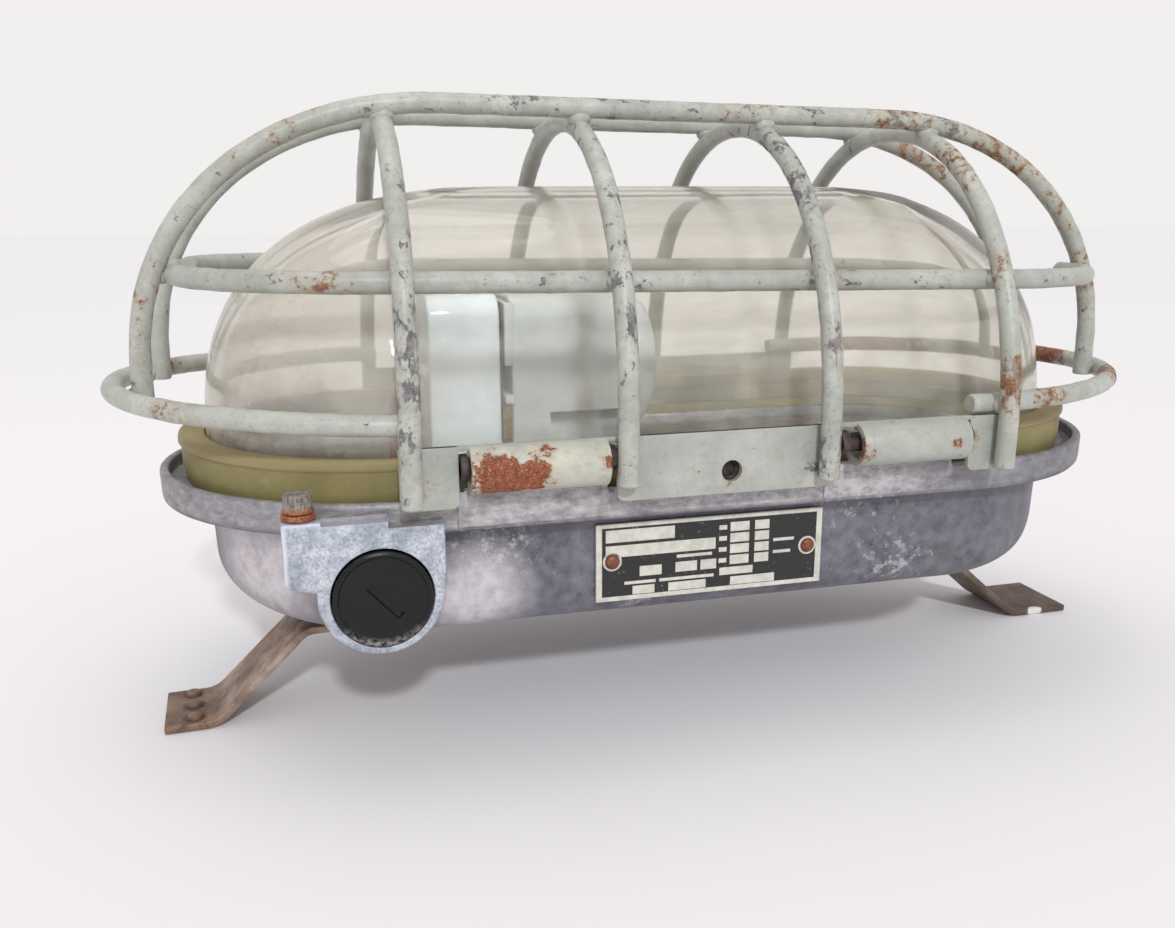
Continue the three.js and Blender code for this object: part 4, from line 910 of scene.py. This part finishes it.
def hollow_of(bm, low, high, grow):
    """The inside of the tray, to keep it clear of the boss."""
    shape = dict(l=CAVITY["l"] + grow, w=CAVITY["w"] + grow, s=CAVITY["s"])
    oval_lathe(bm, [dict(l=0, w=0, s=0, z=low), dict(shape, z=low), dict(shape, z=high),
                    dict(l=0, w=0, s=0, z=high)])


def build_housing():
    boss = make("housing_cast", "cast", add_boss)
    cut(boss, "DIFFERENCE", lambda bm: hollow_of(bm, BODY["bottom"] - 1, RIM["bottom"] - 2, 2))

    def over_rim(bm):
        shape = dict(l=RIM["l"] - 1.3, w=RIM["w"] - 1.3, s=RIM["s"], centre=RIM["centre"])
        top, low = RIM["top"] + 1, RIM["bottom"] - 2
        axis = dict(l=0, w=0, s=0, centre=RIM["centre"])
        oval_lathe(bm, [dict(axis, z=low), dict(shape, z=low), dict(shape, z=top), dict(axis, z=top)])
    cut(boss, "DIFFERENCE", over_rim)

    def tray(bm):
        oval_lathe(bm, tray_levels(), 56, 60)
        for vertex in bm.verts:
            if vertex.co.z < RIM["top"] + 1:
                vertex.co.z += 0.10 * noise.noise(vertex.co * 0.07)
                out = Vector((0, vertex.co.y, 0)).normalized()
                vertex.co += out * 0.14 * noise.noise(vertex.co * 0.05 + Vector((7, 0, 0)))
    cut(boss, "UNION", tray)

    def ears(bm):
        for left, right in ((EARS[0], EARS[1]), (EARS[2], EARS[3])):
            block(bm, left[0], right[1], -RIM["w"] - 0.5, -RIM["w"] + RIM["wall"] - 0.2,
                  RIM["bottom"] + 1.2, LEDGE_TOP, 0.5)
        prism(bm, "y", [(LOCK["x"] - 8, RIM["bottom"] + 0.6), (LOCK["x"] + 8, RIM["bottom"] + 0.6),
                        (LOCK["x"] + 8, LOCK["z"] + 5), (LOCK["x"] - 8, LOCK["z"] + 5)],
              LOCK["inner"], LOCK["outer"], 0.5, 2)
        block(bm, LOCK["x"] - 8, LOCK["x"] + 8, RIM["w"] - 1.2, LOCK["outer"] - 0.3,
              RIM["bottom"] + 0.6, 72.6, 0.4)
        for foot_spec in FEET:
            turned(bm, "z", [(0, FOOT["top"] + 0.3), (8.9, FOOT["top"] + 0.3), (9.5, FOOT["top"] + 0.9),
                             (9.5, BODY["bottom"] + 1), (0, BODY["bottom"] + 1)],
                   foot_spec["x"], foot_spec["y"])
    cut(boss, "UNION", ears)

    def bores(bm):
        g, b = GLAND, BOSS
        turned(bm, "y", [(0, b["front"] - 1), (g["bore"] + 0.7, b["front"] - 1), (g["bore"], b["front"] + 0.6),
                         (g["bore"], g["shoulder"]), (0, g["shoulder"])], g["x"], g["z"], 72)
        block(bm, -104.6, -88.5, b["front"] - 1, b["front"] + 3.4, b["shelf"] - 1.1, b["shelf"] + 1)
        block(bm, -88.45, b["right"] + 1, b["front"] - 1, -RIM["w"] - 0.6, b["shelf"] - 2.8, b["shelf"] + 1.1)
        turned(bm, "y", [(0, LOCK["inner"] - 1), (LOCK["slot"], LOCK["inner"] - 1),
                         (LOCK["slot"], LOCK["outer"] + 1), (0, LOCK["outer"] + 1)], LOCK["x"], LOCK["z"])
    cut(boss, "DIFFERENCE", bores)
    cut(boss, "DIFFERENCE", lambda bm: block(
        bm, LOCK["x"] - LOCK["slot"], LOCK["x"] + LOCK["slot"], LOCK["inner"] - 1.2, LOCK["outer"] + 1.2,
        LOCK["z"] + 0.1, LOCK["z"] + 7))
    finish(boss, "base", "casting", "housing")

    def hinge_ears(bm):
        nose = arc(HINGE["y"], HINGE["z"], HINGE["ear"], 20, 190, 18)
        root, foot = -RIM["w"] + 1.0, LEDGE_TOP - 1.2
        for x0, x1 in EARS:
            prism(bm, "x", nose + [(-RIM["w"] - 1.0, LEDGE_TOP + 1.0), (-RIM["w"] - 0.2, foot),
                                   (root, foot)], x0, x1, 0.3, 2)
    ears_piece = make("hinge_ears", "dark_steel", hinge_ears)
    finish(ears_piece, "base", "casting")


# ------------------------------------------------------------------ glass and gasket

def glass_levels(offset, steps):
    g = GLASS
    levels = []
    for i in range(steps + 1):
        u = min(math.sin(i / steps * math.pi / 2), 0.9995)
        side = (1 - u ** g["side"]) ** (1 / g["side"])
        end = (1 - u ** g["end"]) ** (1 / g["end"])
        l = g["l"] - g["drop"] * (1 - end) - offset
        w = (g["w"] - offset) * side
        s = min(g["s"], l - (l - g["s"] + 8) * side * 0.98)
        levels.append(dict(l=l, w=w, s=s, z=g["shoulder"] + (g["top"] - offset - g["shoulder"]) * u))
    return levels


def build_glass():
    g = GLASS

    def flange(out, z, r=0.0):
        return dict(l=g["l"] + out, w=g["w"] + out, s=g["s"], z=z, r=r)
    levels = ([dict(l=0, w=0, s=0, z=g["top"] - g["wall"])]
              + list(reversed(glass_levels(g["wall"], 30)))
              + rounded_levels([flange(-g["wall"], g["base"] + 3), flange(-g["wall"], g["base"], 0.8),
                                flange(1.2, g["base"], 0.8), flange(1.2, 78.6, 0.6), flange(0, 79.1)])
              + glass_levels(0, 30) + [dict(l=0, w=0, s=0, z=g["top"])])
    piece = make("glass_shell", "glass", lambda bm: oval_lathe(bm, levels, 64, 40), sharp=80)
    finish(piece, "glass", "clear_glass", "glass_dome")


def build_gasket():
    k, g = GASKET, GLASS

    def outer(inset, z, r=0.0):
        return dict(l=k["l"] - inset, w=k["w"] - inset * 0.6, s=k["s"], z=z, r=r)

    def inner(out, z, r=0.0):
        return dict(l=g["l"] + out, w=g["w"] + out, s=g["s"], z=z, r=r)
    levels = rounded_levels([
        inner(-g["wall"] + 0.2, k["bottom"]), outer(2, k["bottom"], 0.7), outer(0.9, k["step"] - 6),
        outer(0.9, k["step"] - 0.2, 0.3), outer(0, k["step"] + 0.5, 0.5), outer(0.2, k["top"] - 0.3, 1.2),
        outer(3.2, k["top"], 0.7), inner(0.3, k["top"] - 0.6, 0.5), inner(0.3, 79.2), inner(1.5, 78.9),
        inner(1.5, 73.1), inner(-g["wall"] + 0.2, 73.1)])
    piece = make("gasket_ring", "gasket", lambda bm: oval_lathe(bm, levels, 56, 40, closed=True))
    finish(piece, "glass", "gasket_rubber", "gasket")


# ------------------------------------------------------------------ fittings on the boss

def build_gland_plug():
    g = GLAND
    r, face = g["plug"], g["face"]
    profile = [(0, face - 0.1), (r * 0.8, face), (r - 1.6, face + 0.15), (r - 1.2, face - 0.25),
               (r - 0.7, face - 0.3), (r - 0.2, face), (r, face + 0.6), (r, g["seat"]),
               (8.0, g["seat"]), (8.0, g["shoulder"] + 2), (0, g["shoulder"] + 2)]
    piece = make("plug_head", "plug", lambda bm: turned(bm, "y", profile, g["x"], g["z"], 72))
    slant = math.radians(-48)

    def slot(bm):
        block(bm, -5.8, 5.8, -2, 1.0, -1.15, 1.15, 0.3)
        for vertex in bm.verts:
            x, y, z = vertex.co
            vertex.co = (g["x"] + 0.4 + x * math.cos(slant) - z * math.sin(slant), face + y,
                         g["z"] - 0.3 + x * math.sin(slant) + z * math.cos(slant))
    cut(piece, "DIFFERENCE", slot)
    finish(piece, "gland_plug", "black_plastic", "gland_plug")


def build_earth_screw():
    e, shelf = EARTH, BOSS["shelf"] + 0.3
    top = shelf + e["thick"]
    washer = make("earth_spring_washer", "earth_washer", lambda bm: turned(
        bm, "z", [(2.8, shelf), (e["washer"] - 0.2, shelf), (e["washer"], shelf + 0.3), (e["washer"], top - 0.3),
                  (e["washer"] - 0.3, top), (2.8, top), (2.8, shelf)], e["x"], e["y"]))
    bmesh_weld(washer)
    finish(washer, "earth_washer", "rusty_fixings", "earth_washer")
    seat, r, h = top + 0.3, e["head"], e["height"]
    piece = make("earth_screw_head", "earth_head", lambda bm: turned(
        bm, "z", [(0, shelf - 5), (2.5, shelf - 5), (2.5, seat), (r - 0.1, seat), (r, seat + 0.3),
                  (r - 0.1, seat + h * 0.45), (r - 0.25, seat + h * 0.5), (r, seat + h * 0.58),
                  (r, seat + h - 0.3), (r - 0.3, seat + h), (0, seat + h)], e["x"], e["y"]))
    cut(piece, "DIFFERENCE", lambda bm: block(bm, e["x"] - 5, e["x"] + 5, e["y"] - 0.6, e["y"] + 0.6,
                                              seat + h - 1.6, seat + h + 1))
    finish(piece, "earth_screw", "rusty_fixings", "earth_screw")


def bmesh_weld(piece):
    """Closes a turned ring, whose profile ends where it starts."""
    bm = bmesh.new()
    bm.from_mesh(piece.data)
    bmesh.ops.remove_doubles(bm, verts=bm.verts, dist=1e-6)
    bmesh.ops.recalc_face_normals(bm, faces=bm.faces)
    bm.to_mesh(piece.data)
    bm.free()


# ------------------------------------------------------------------ nameplate

def plate_place(u, depth, v):
    """A point of the nameplate: u and v from its middle, depth out of its face."""
    tilt = math.radians(NAMEPLATE["tilt"])
    y = -0.3 - depth
    return (NAMEPLATE["x"] + u, NAMEPLATE["y"] + y * math.cos(tilt) - v * math.sin(tilt),
            NAMEPLATE["z"] + y * math.sin(tilt) + v * math.cos(tilt))


def plate_block(bm, u0, u1, v0, v1, low, high, bevel=0.0):
    """A flat field of the nameplate, given in its own directions."""
    before = set(bm.verts)
    prism(bm, "y", [(u0, v0), (u1, v0), (u1, v1), (u0, v1)], low, high, bevel, 1)
    for vertex in set(bm.verts) - before:
        u, depth, v = vertex.co
        vertex.co = plate_place(u, depth, v)


# Blank fields of the nameplate, as shares of its width from the left and height from the top.
BLANKS = (
    (0.040, 0.335, 0.08, 0.24), (0.040, 0.515, 0.28, 0.43), (0.580, 0.665, 0.10, 0.22),
    (0.580, 0.665, 0.245, 0.365), (0.580, 0.665, 0.39, 0.51), (0.580, 0.665, 0.535, 0.655),
    (0.690, 0.755, 0.10, 0.22), (0.690, 0.755, 0.245, 0.365), (0.690, 0.755, 0.39, 0.51),
    (0.690, 0.755, 0.535, 0.655), (0.340, 0.435, 0.56, 0.69), (0.450, 0.520, 0.56, 0.69),
    (0.185, 0.280, 0.57, 0.70), (0.535, 0.685, 0.69, 0.79), (0.585, 0.785, 0.82, 0.93),
    (0.155, 0.250, 0.82, 0.93), (0.310, 0.475, 0.82, 0.93), (0.345, 0.500, 0.465, 0.505),
    (0.120, 0.255, 0.755, 0.795), (0.270, 0.510, 0.755, 0.795), (0.775, 0.870, 0.36, 0.40),
    (0.775, 0.855, 0.52, 0.56), (0.530, 0.565, 0.13, 0.19), (0.530, 0.565, 0.275, 0.335),
    (0.530, 0.565, 0.42, 0.48), (0.530, 0.565, 0.565, 0.625),
)


RIVET_U = (-29.2, 29.2)
RIVET_V = (0.4, 0.2)


def build_nameplate():
    w, h = NAMEPLATE["w"], NAMEPLATE["h"]
    sheet = make("nameplate_sheet", "plate_metal",
                 lambda bm: plate_block(bm, -w / 2, w / 2, -h / 2, h / 2, -0.6, 0.0, 0.15))
    finish(sheet, "base", "nameplate", "nameplate")
    ink = make("nameplate_field", "ink",
               lambda bm: plate_block(bm, -w / 2 + 1.7, w / 2 - 1.9, -h / 2 + 1.4, h / 2 - 1.2, -0.05, 0.09))
    finish(ink, "base", "nameplate")

    def fields(bm):
        for u0, u1, v0, v1 in BLANKS:
            plate_block(bm, (u0 - 0.5) * w, (u1 - 0.5) * w, (0.5 - v1) * h, (0.5 - v0) * h, 0.0, 0.17, 0.04)
        before = set(bm.verts)
        for u, v in zip(RIVET_U, RIVET_V):
            turned(bm, "y", [(0, 0.0), (2.7, 0.0), (2.7, 0.14), (2.5, 0.17), (0, 0.17)], u, v, 36)
        for vertex in set(bm.verts) - before:
            vertex.co = plate_place(*vertex.co)
    blanks = make("nameplate_blanks", "plate_metal", fields)
    finish(blanks, "base", "nameplate")
    for i, u in enumerate(RIVET_U):
        def rivet(bm):
            dome = [(0, 0.0), (2.1, 0.0), (2.1, 0.35), (1.9, 0.75), (1.4, 1.05), (0.7, 1.25), (0, 1.3)]
            turned(bm, "y", dome, u, RIVET_V[i], 36)
            for vertex in bm.verts:
                vertex.co = plate_place(*vertex.co)
        piece = make(f"rivet_{i + 1}", "copper", rivet)
        finish(piece, "base", "copper", f"nameplate_rivet_{i + 1}")


# ------------------------------------------------------------------ feet

def strip_line(spec):
    """Centre line of a bent strip, with an arc at each bend."""
    low, high = FOOT["thick"] / 2, FOOT["top"] - FOOT["thick"] / 2
    corners = [Vector(p) for p in ((spec["pad"], low), (spec["bend"], low),
                                   (spec["shoulder"], high), (spec["tongue"], high))]
    line = [corners[0], corners[0].lerp(corners[1], 0.45)]
    for i, radius in ((1, FOOT["pad_bend"]), (2, FOOT["shoulder_bend"])):
        here = corners[i]
        back, ahead = (corners[i - 1] - here).normalized(), (corners[i + 1] - here).normalized()
        half = back.angle(ahead) / 2
        middle = here + (back + ahead).normalized() * (radius / math.sin(half))
        start = here + back * (radius / math.tan(half)) - middle
        end = here + ahead * (radius / math.tan(half)) - middle
        for k in range(9):
            line.append(start.lerp(end, k / 8).normalized() * radius + middle)
    line.append(corners[3])
    return line


def build_feet():
    for spec in FEET:
        line = strip_line(spec)
        sides = []
        for sign in (1, -1):
            side = []
            for i, point in enumerate(line):
                along = (line[min(i + 1, len(line) - 1)] - line[max(i - 1, 0)]).normalized()
                side.append(point + Vector((-along.y, along.x)) * sign * FOOT["thick"] / 2)
            sides.append(side)
        outline = [(spec["out"] * p.x, max(p.y, 0.0)) for p in sides[0] + sides[1][::-1]]
        half = spec["width"] / 2

        def strip(bm):
            prism(bm, "y", outline, -half, half, 0.35, 2)
            if spec["name"] == "left":
                for k in (-1, 0, 1):
                    turned(bm, "z", [(0, 1.2), (2.5, 1.2), (2.45, 2.4), (1.9, 3.1), (1.0, 3.5), (0, 3.55)],
                           -143.6 - 0.4 * k, 8.4 * k + 0.4, 24)
            turn = math.radians(spec["turn"])
            for vertex in bm.verts:
                x, y, z = vertex.co
                x -= spec["x"]
                vertex.co = (spec["x"] + x * math.cos(turn) - y * math.sin(turn),
                             spec["y"] + x * math.sin(turn) + y * math.cos(turn), z)
        piece = make(f"foot_strip_{spec['name']}", "foot", strip)
        finish(piece, "base", "rusty_steel", f"foot_{spec['name']}")


# ------------------------------------------------------------------ lampholder and plate

def holder_outline(half, z0, z1, top):
    return (arc(half - 3, z0 + 3, 3, -90, 0, 6) + arc(half - top, z1 - top, top, 0, 90, 10)
            + arc(-half + top, z1 - top, top, 90, 180, 10) + arc(-half + 3, z0 + 3, 3, 180, 270, 6))


def build_holder():
    h = HOLDER
    base = PLATE_TOP + 0.3
    rear = make("holder_block_rear", "ceramic", lambda bm: prism(
        bm, "x", holder_outline(h["half"], base, h["top"], 7), *h["rear"], 1.0, 3))
    finish(rear, "base", "ceramic", "holder_rear")

    x0, x1 = h["front"]
    front = make("holder_block_front", "ceramic_front_painted_shade", lambda bm: prism(
        bm, "x", holder_outline(h["half"], 73.5, h["top"] - 0.6, 8), x0, x1 - 12, 1.0, 3))
    cut(front, "UNION", lambda bm: turned(
        bm, "x", [(0, x1 - 15), (21.8, x1 - 15), (21.8, x1 - 8), (21.4, x1 - 5.5), (20.3, x1 - 2.8),
                  (18.6, x1 - 0.8), (17.0, x1), (0, x1)], 0, h["z"], 72))

    def lips(bm):
        edge = h["rear"][1] + 1.3
        for z0, z1 in ((101, h["top"] - 2.6), (90, 92.5)):
            block(bm, edge, x0 + 1.2, -h["half"] + 0.2, h["half"] - 0.2, z0, z1, 0.4)
    cut(front, "UNION", lips)

    def recesses(bm):
        turned(bm, "x", [(0, x0 + 6), (h["bore"], x0 + 6), (h["bore"], x1 - 1.2), (h["bore"] + 1.4, x1 + 1),
                         (0, x1 + 1)], 0, h["z"], 60)
        for sign in (-1, 1):
            y0, y1 = sorted((sign * 15.5, sign * 30))
            block(bm, -36, -13, y0, y1, 75.5, 87)
    cut(front, "DIFFERENCE", recesses)
    finish(front, "base", "ceramic", "holder_front")
    # Painted shade: a dark sheet in the gap between the two holder blocks.
    gap_shade_sheet = make("holder_gap_shade_sheet", "seal", lambda bm: block(
        bm, h["rear"][1] + 0.1, h["rear"][1] + 0.7, -h["half"] + 1.6, h["half"] - 1.6, base + 0.4,
        h["top"] - 2.2, 0.1))
    finish(gap_shade_sheet, "base", "black_rubber")

    def level(z, inset=0.0):
        return dict(l=PLATE["l"] - inset, w=PLATE["w"] - inset, s=PLATE["s"], z=z)
    plate = make("carrier_sheet", "enamel", lambda bm: oval_lathe(bm, [
        dict(l=0, w=0, s=0, z=PLATE["bottom"]), level(PLATE["bottom"], 0.3), level(PLATE["bottom"] + 0.3),
        level(PLATE_TOP - 0.3), level(PLATE_TOP, 0.3), dict(l=0, w=0, s=0, z=PLATE_TOP)], 40, 20))
    finish(plate, "base", "white_enamel", "carrier_plate")


def build_lock():
    outer = STRIP["y"] + STRIP["thick"] / 2
    head = outer + 1.6
    screw = make("lock_screw_head", "zinc", lambda bm: turned(
        bm, "y", [(0, LOCK["inner"] - 4.6), (LOCK["shank"], LOCK["inner"] - 4.2), (LOCK["shank"], head),
                  (4.4, head), (4.4, head + 2.4), (4.1, head + 3.1), (3.4, head + 3.5), (0, head + 3.6)],
        LOCK["x"], LOCK["z"]))
    cut(screw, "DIFFERENCE", lambda bm: block(
        bm, LOCK["x"] - 6, LOCK["x"] + 6, head + 2.2, head + 5, LOCK["z"] - 0.6, LOCK["z"] + 0.6))
    finish(screw, "lock_screw", "zinc_steel", "lock_screw")


# ------------------------------------------------------------------ scene

def dress_cad_nodes():
    """Gives each CAD node the node material of its slot."""
    slots = {entry["node"]: entry["material_slot"] for entry in frame["record"]["subparts"]}
    for name, node in frame["nodes"].items():
        material = MATERIALS[SLOT_MATERIAL[slots[name]]]
        node.data.materials.clear()
        node.data.materials.append(material)
    for name in ("hinge_pin_left", "hinge_pin_right"):
        frame["nodes"][name].data.materials[0] = MATERIALS["dark_steel"]


def build_stage():
    bm = bmesh.new()
    bmesh.ops.create_grid(bm, x_segments=1, y_segments=1, size=6.0)
    mesh = bpy.data.meshes.new("floor")
    bm.to_mesh(mesh)
    bm.free()
    floor = bpy.data.objects.new("floor", mesh)
    mesh.materials.append(MATERIALS["floor"])
    bpy.context.scene.collection.objects.link(floor)
    floor.location.z = -0.0002

    world = bpy.data.worlds.new("studio")
    world.use_nodes = True
    tree = world.node_tree
    background = tree.nodes["Background"]
    background.inputs[0].default_value = srgb(244, 241, 241)
    path = tree.nodes.new("ShaderNodeLightPath")
    seen = tree.nodes.new("ShaderNodeMath")
    seen.operation = "MAXIMUM"
    level = tree.nodes.new("ShaderNodeMapRange")
    level.inputs["To Min"].default_value = 0.78
    level.inputs["To Max"].default_value = 0.98
    tree.links.new(path.outputs["Is Camera Ray"], seen.inputs[0])
    tree.links.new(path.outputs["Is Transmission Ray"], seen.inputs[1])
    tree.links.new(seen.outputs[0], level.inputs["Value"])
    tree.links.new(level.outputs[0], background.inputs[1])
    bpy.context.scene.world = world
    bpy.context.scene.view_settings.view_transform = "Standard"


def add_area(name, position, target, size, power, colour=(1.0, 0.985, 0.98)):
    light = bpy.data.lights.new(name, "AREA")
    light.shape = "DISK"
    light.size = size
    light.energy = power
    light.color = colour
    lamp = bpy.data.objects.new(name, light)
    lamp.location = position
    aim = Vector(target) - Vector(position)
    lamp.rotation_euler = aim.to_track_quat("-Z", "Y").to_euler()
    bpy.context.scene.collection.objects.link(lamp)


def build_lights():
    add_area("top_softbox", (-0.15, 0.10, 0.95), (0, 0, 0.08), 0.7, 1.4)
    key = bpy.data.lights.new("key", "SUN")
    key.energy = 1.45
    key.angle = math.radians(4.0)
    key.color = (0.90, 0.95, 1.0)
    lamp = bpy.data.objects.new("key", key)
    lamp.rotation_euler = Vector((0.05, 0.83, -0.56)).to_track_quat("-Z", "Y").to_euler()
    bpy.context.scene.collection.objects.link(lamp)
    add_area("front_fill", (0.55, -0.85, 0.75), (0, 0, 0.08), 0.6, 0.4)


def build_camera():
    """The photograph's standpoint: place, directions and lens were solved from the guard."""
    yaw, pitch, roll = math.radians(15.07), math.radians(-13.366), math.radians(-0.272)
    forward = Vector((math.sin(yaw) * math.cos(pitch), math.cos(yaw) * math.cos(pitch), math.sin(pitch)))
    level = Vector((math.cos(yaw), -math.sin(yaw), 0))
    rise = level.cross(forward)
    right = level * math.cos(roll) + rise * math.sin(roll)
    up = right.cross(forward)
    data = bpy.data.cameras.new("camera")
    data.lens = 33.34
    data.sensor_width = 36.0
    data.clip_start = 0.01
    data.clip_end = 60.0
    camera = bpy.data.objects.new("camera", data)
    matrix = Matrix((right, up, -forward)).transposed().to_4x4()
    matrix.translation = Vector((-0.10806, -0.33191, 0.14669))
    camera.matrix_world = matrix
    bpy.context.scene.collection.objects.link(camera)
    bpy.context.scene.camera = camera


build_camera()
dress_cad_nodes()
build_guard_wires()
build_welds()
build_hinge_strip()
build_housing()
build_glass()
build_gasket()
build_gland_plug()
build_earth_screw()
build_nameplate()
build_feet()
build_holder()
build_lock()
build_stage()
build_lights()

bpy.context.view_layer.update()
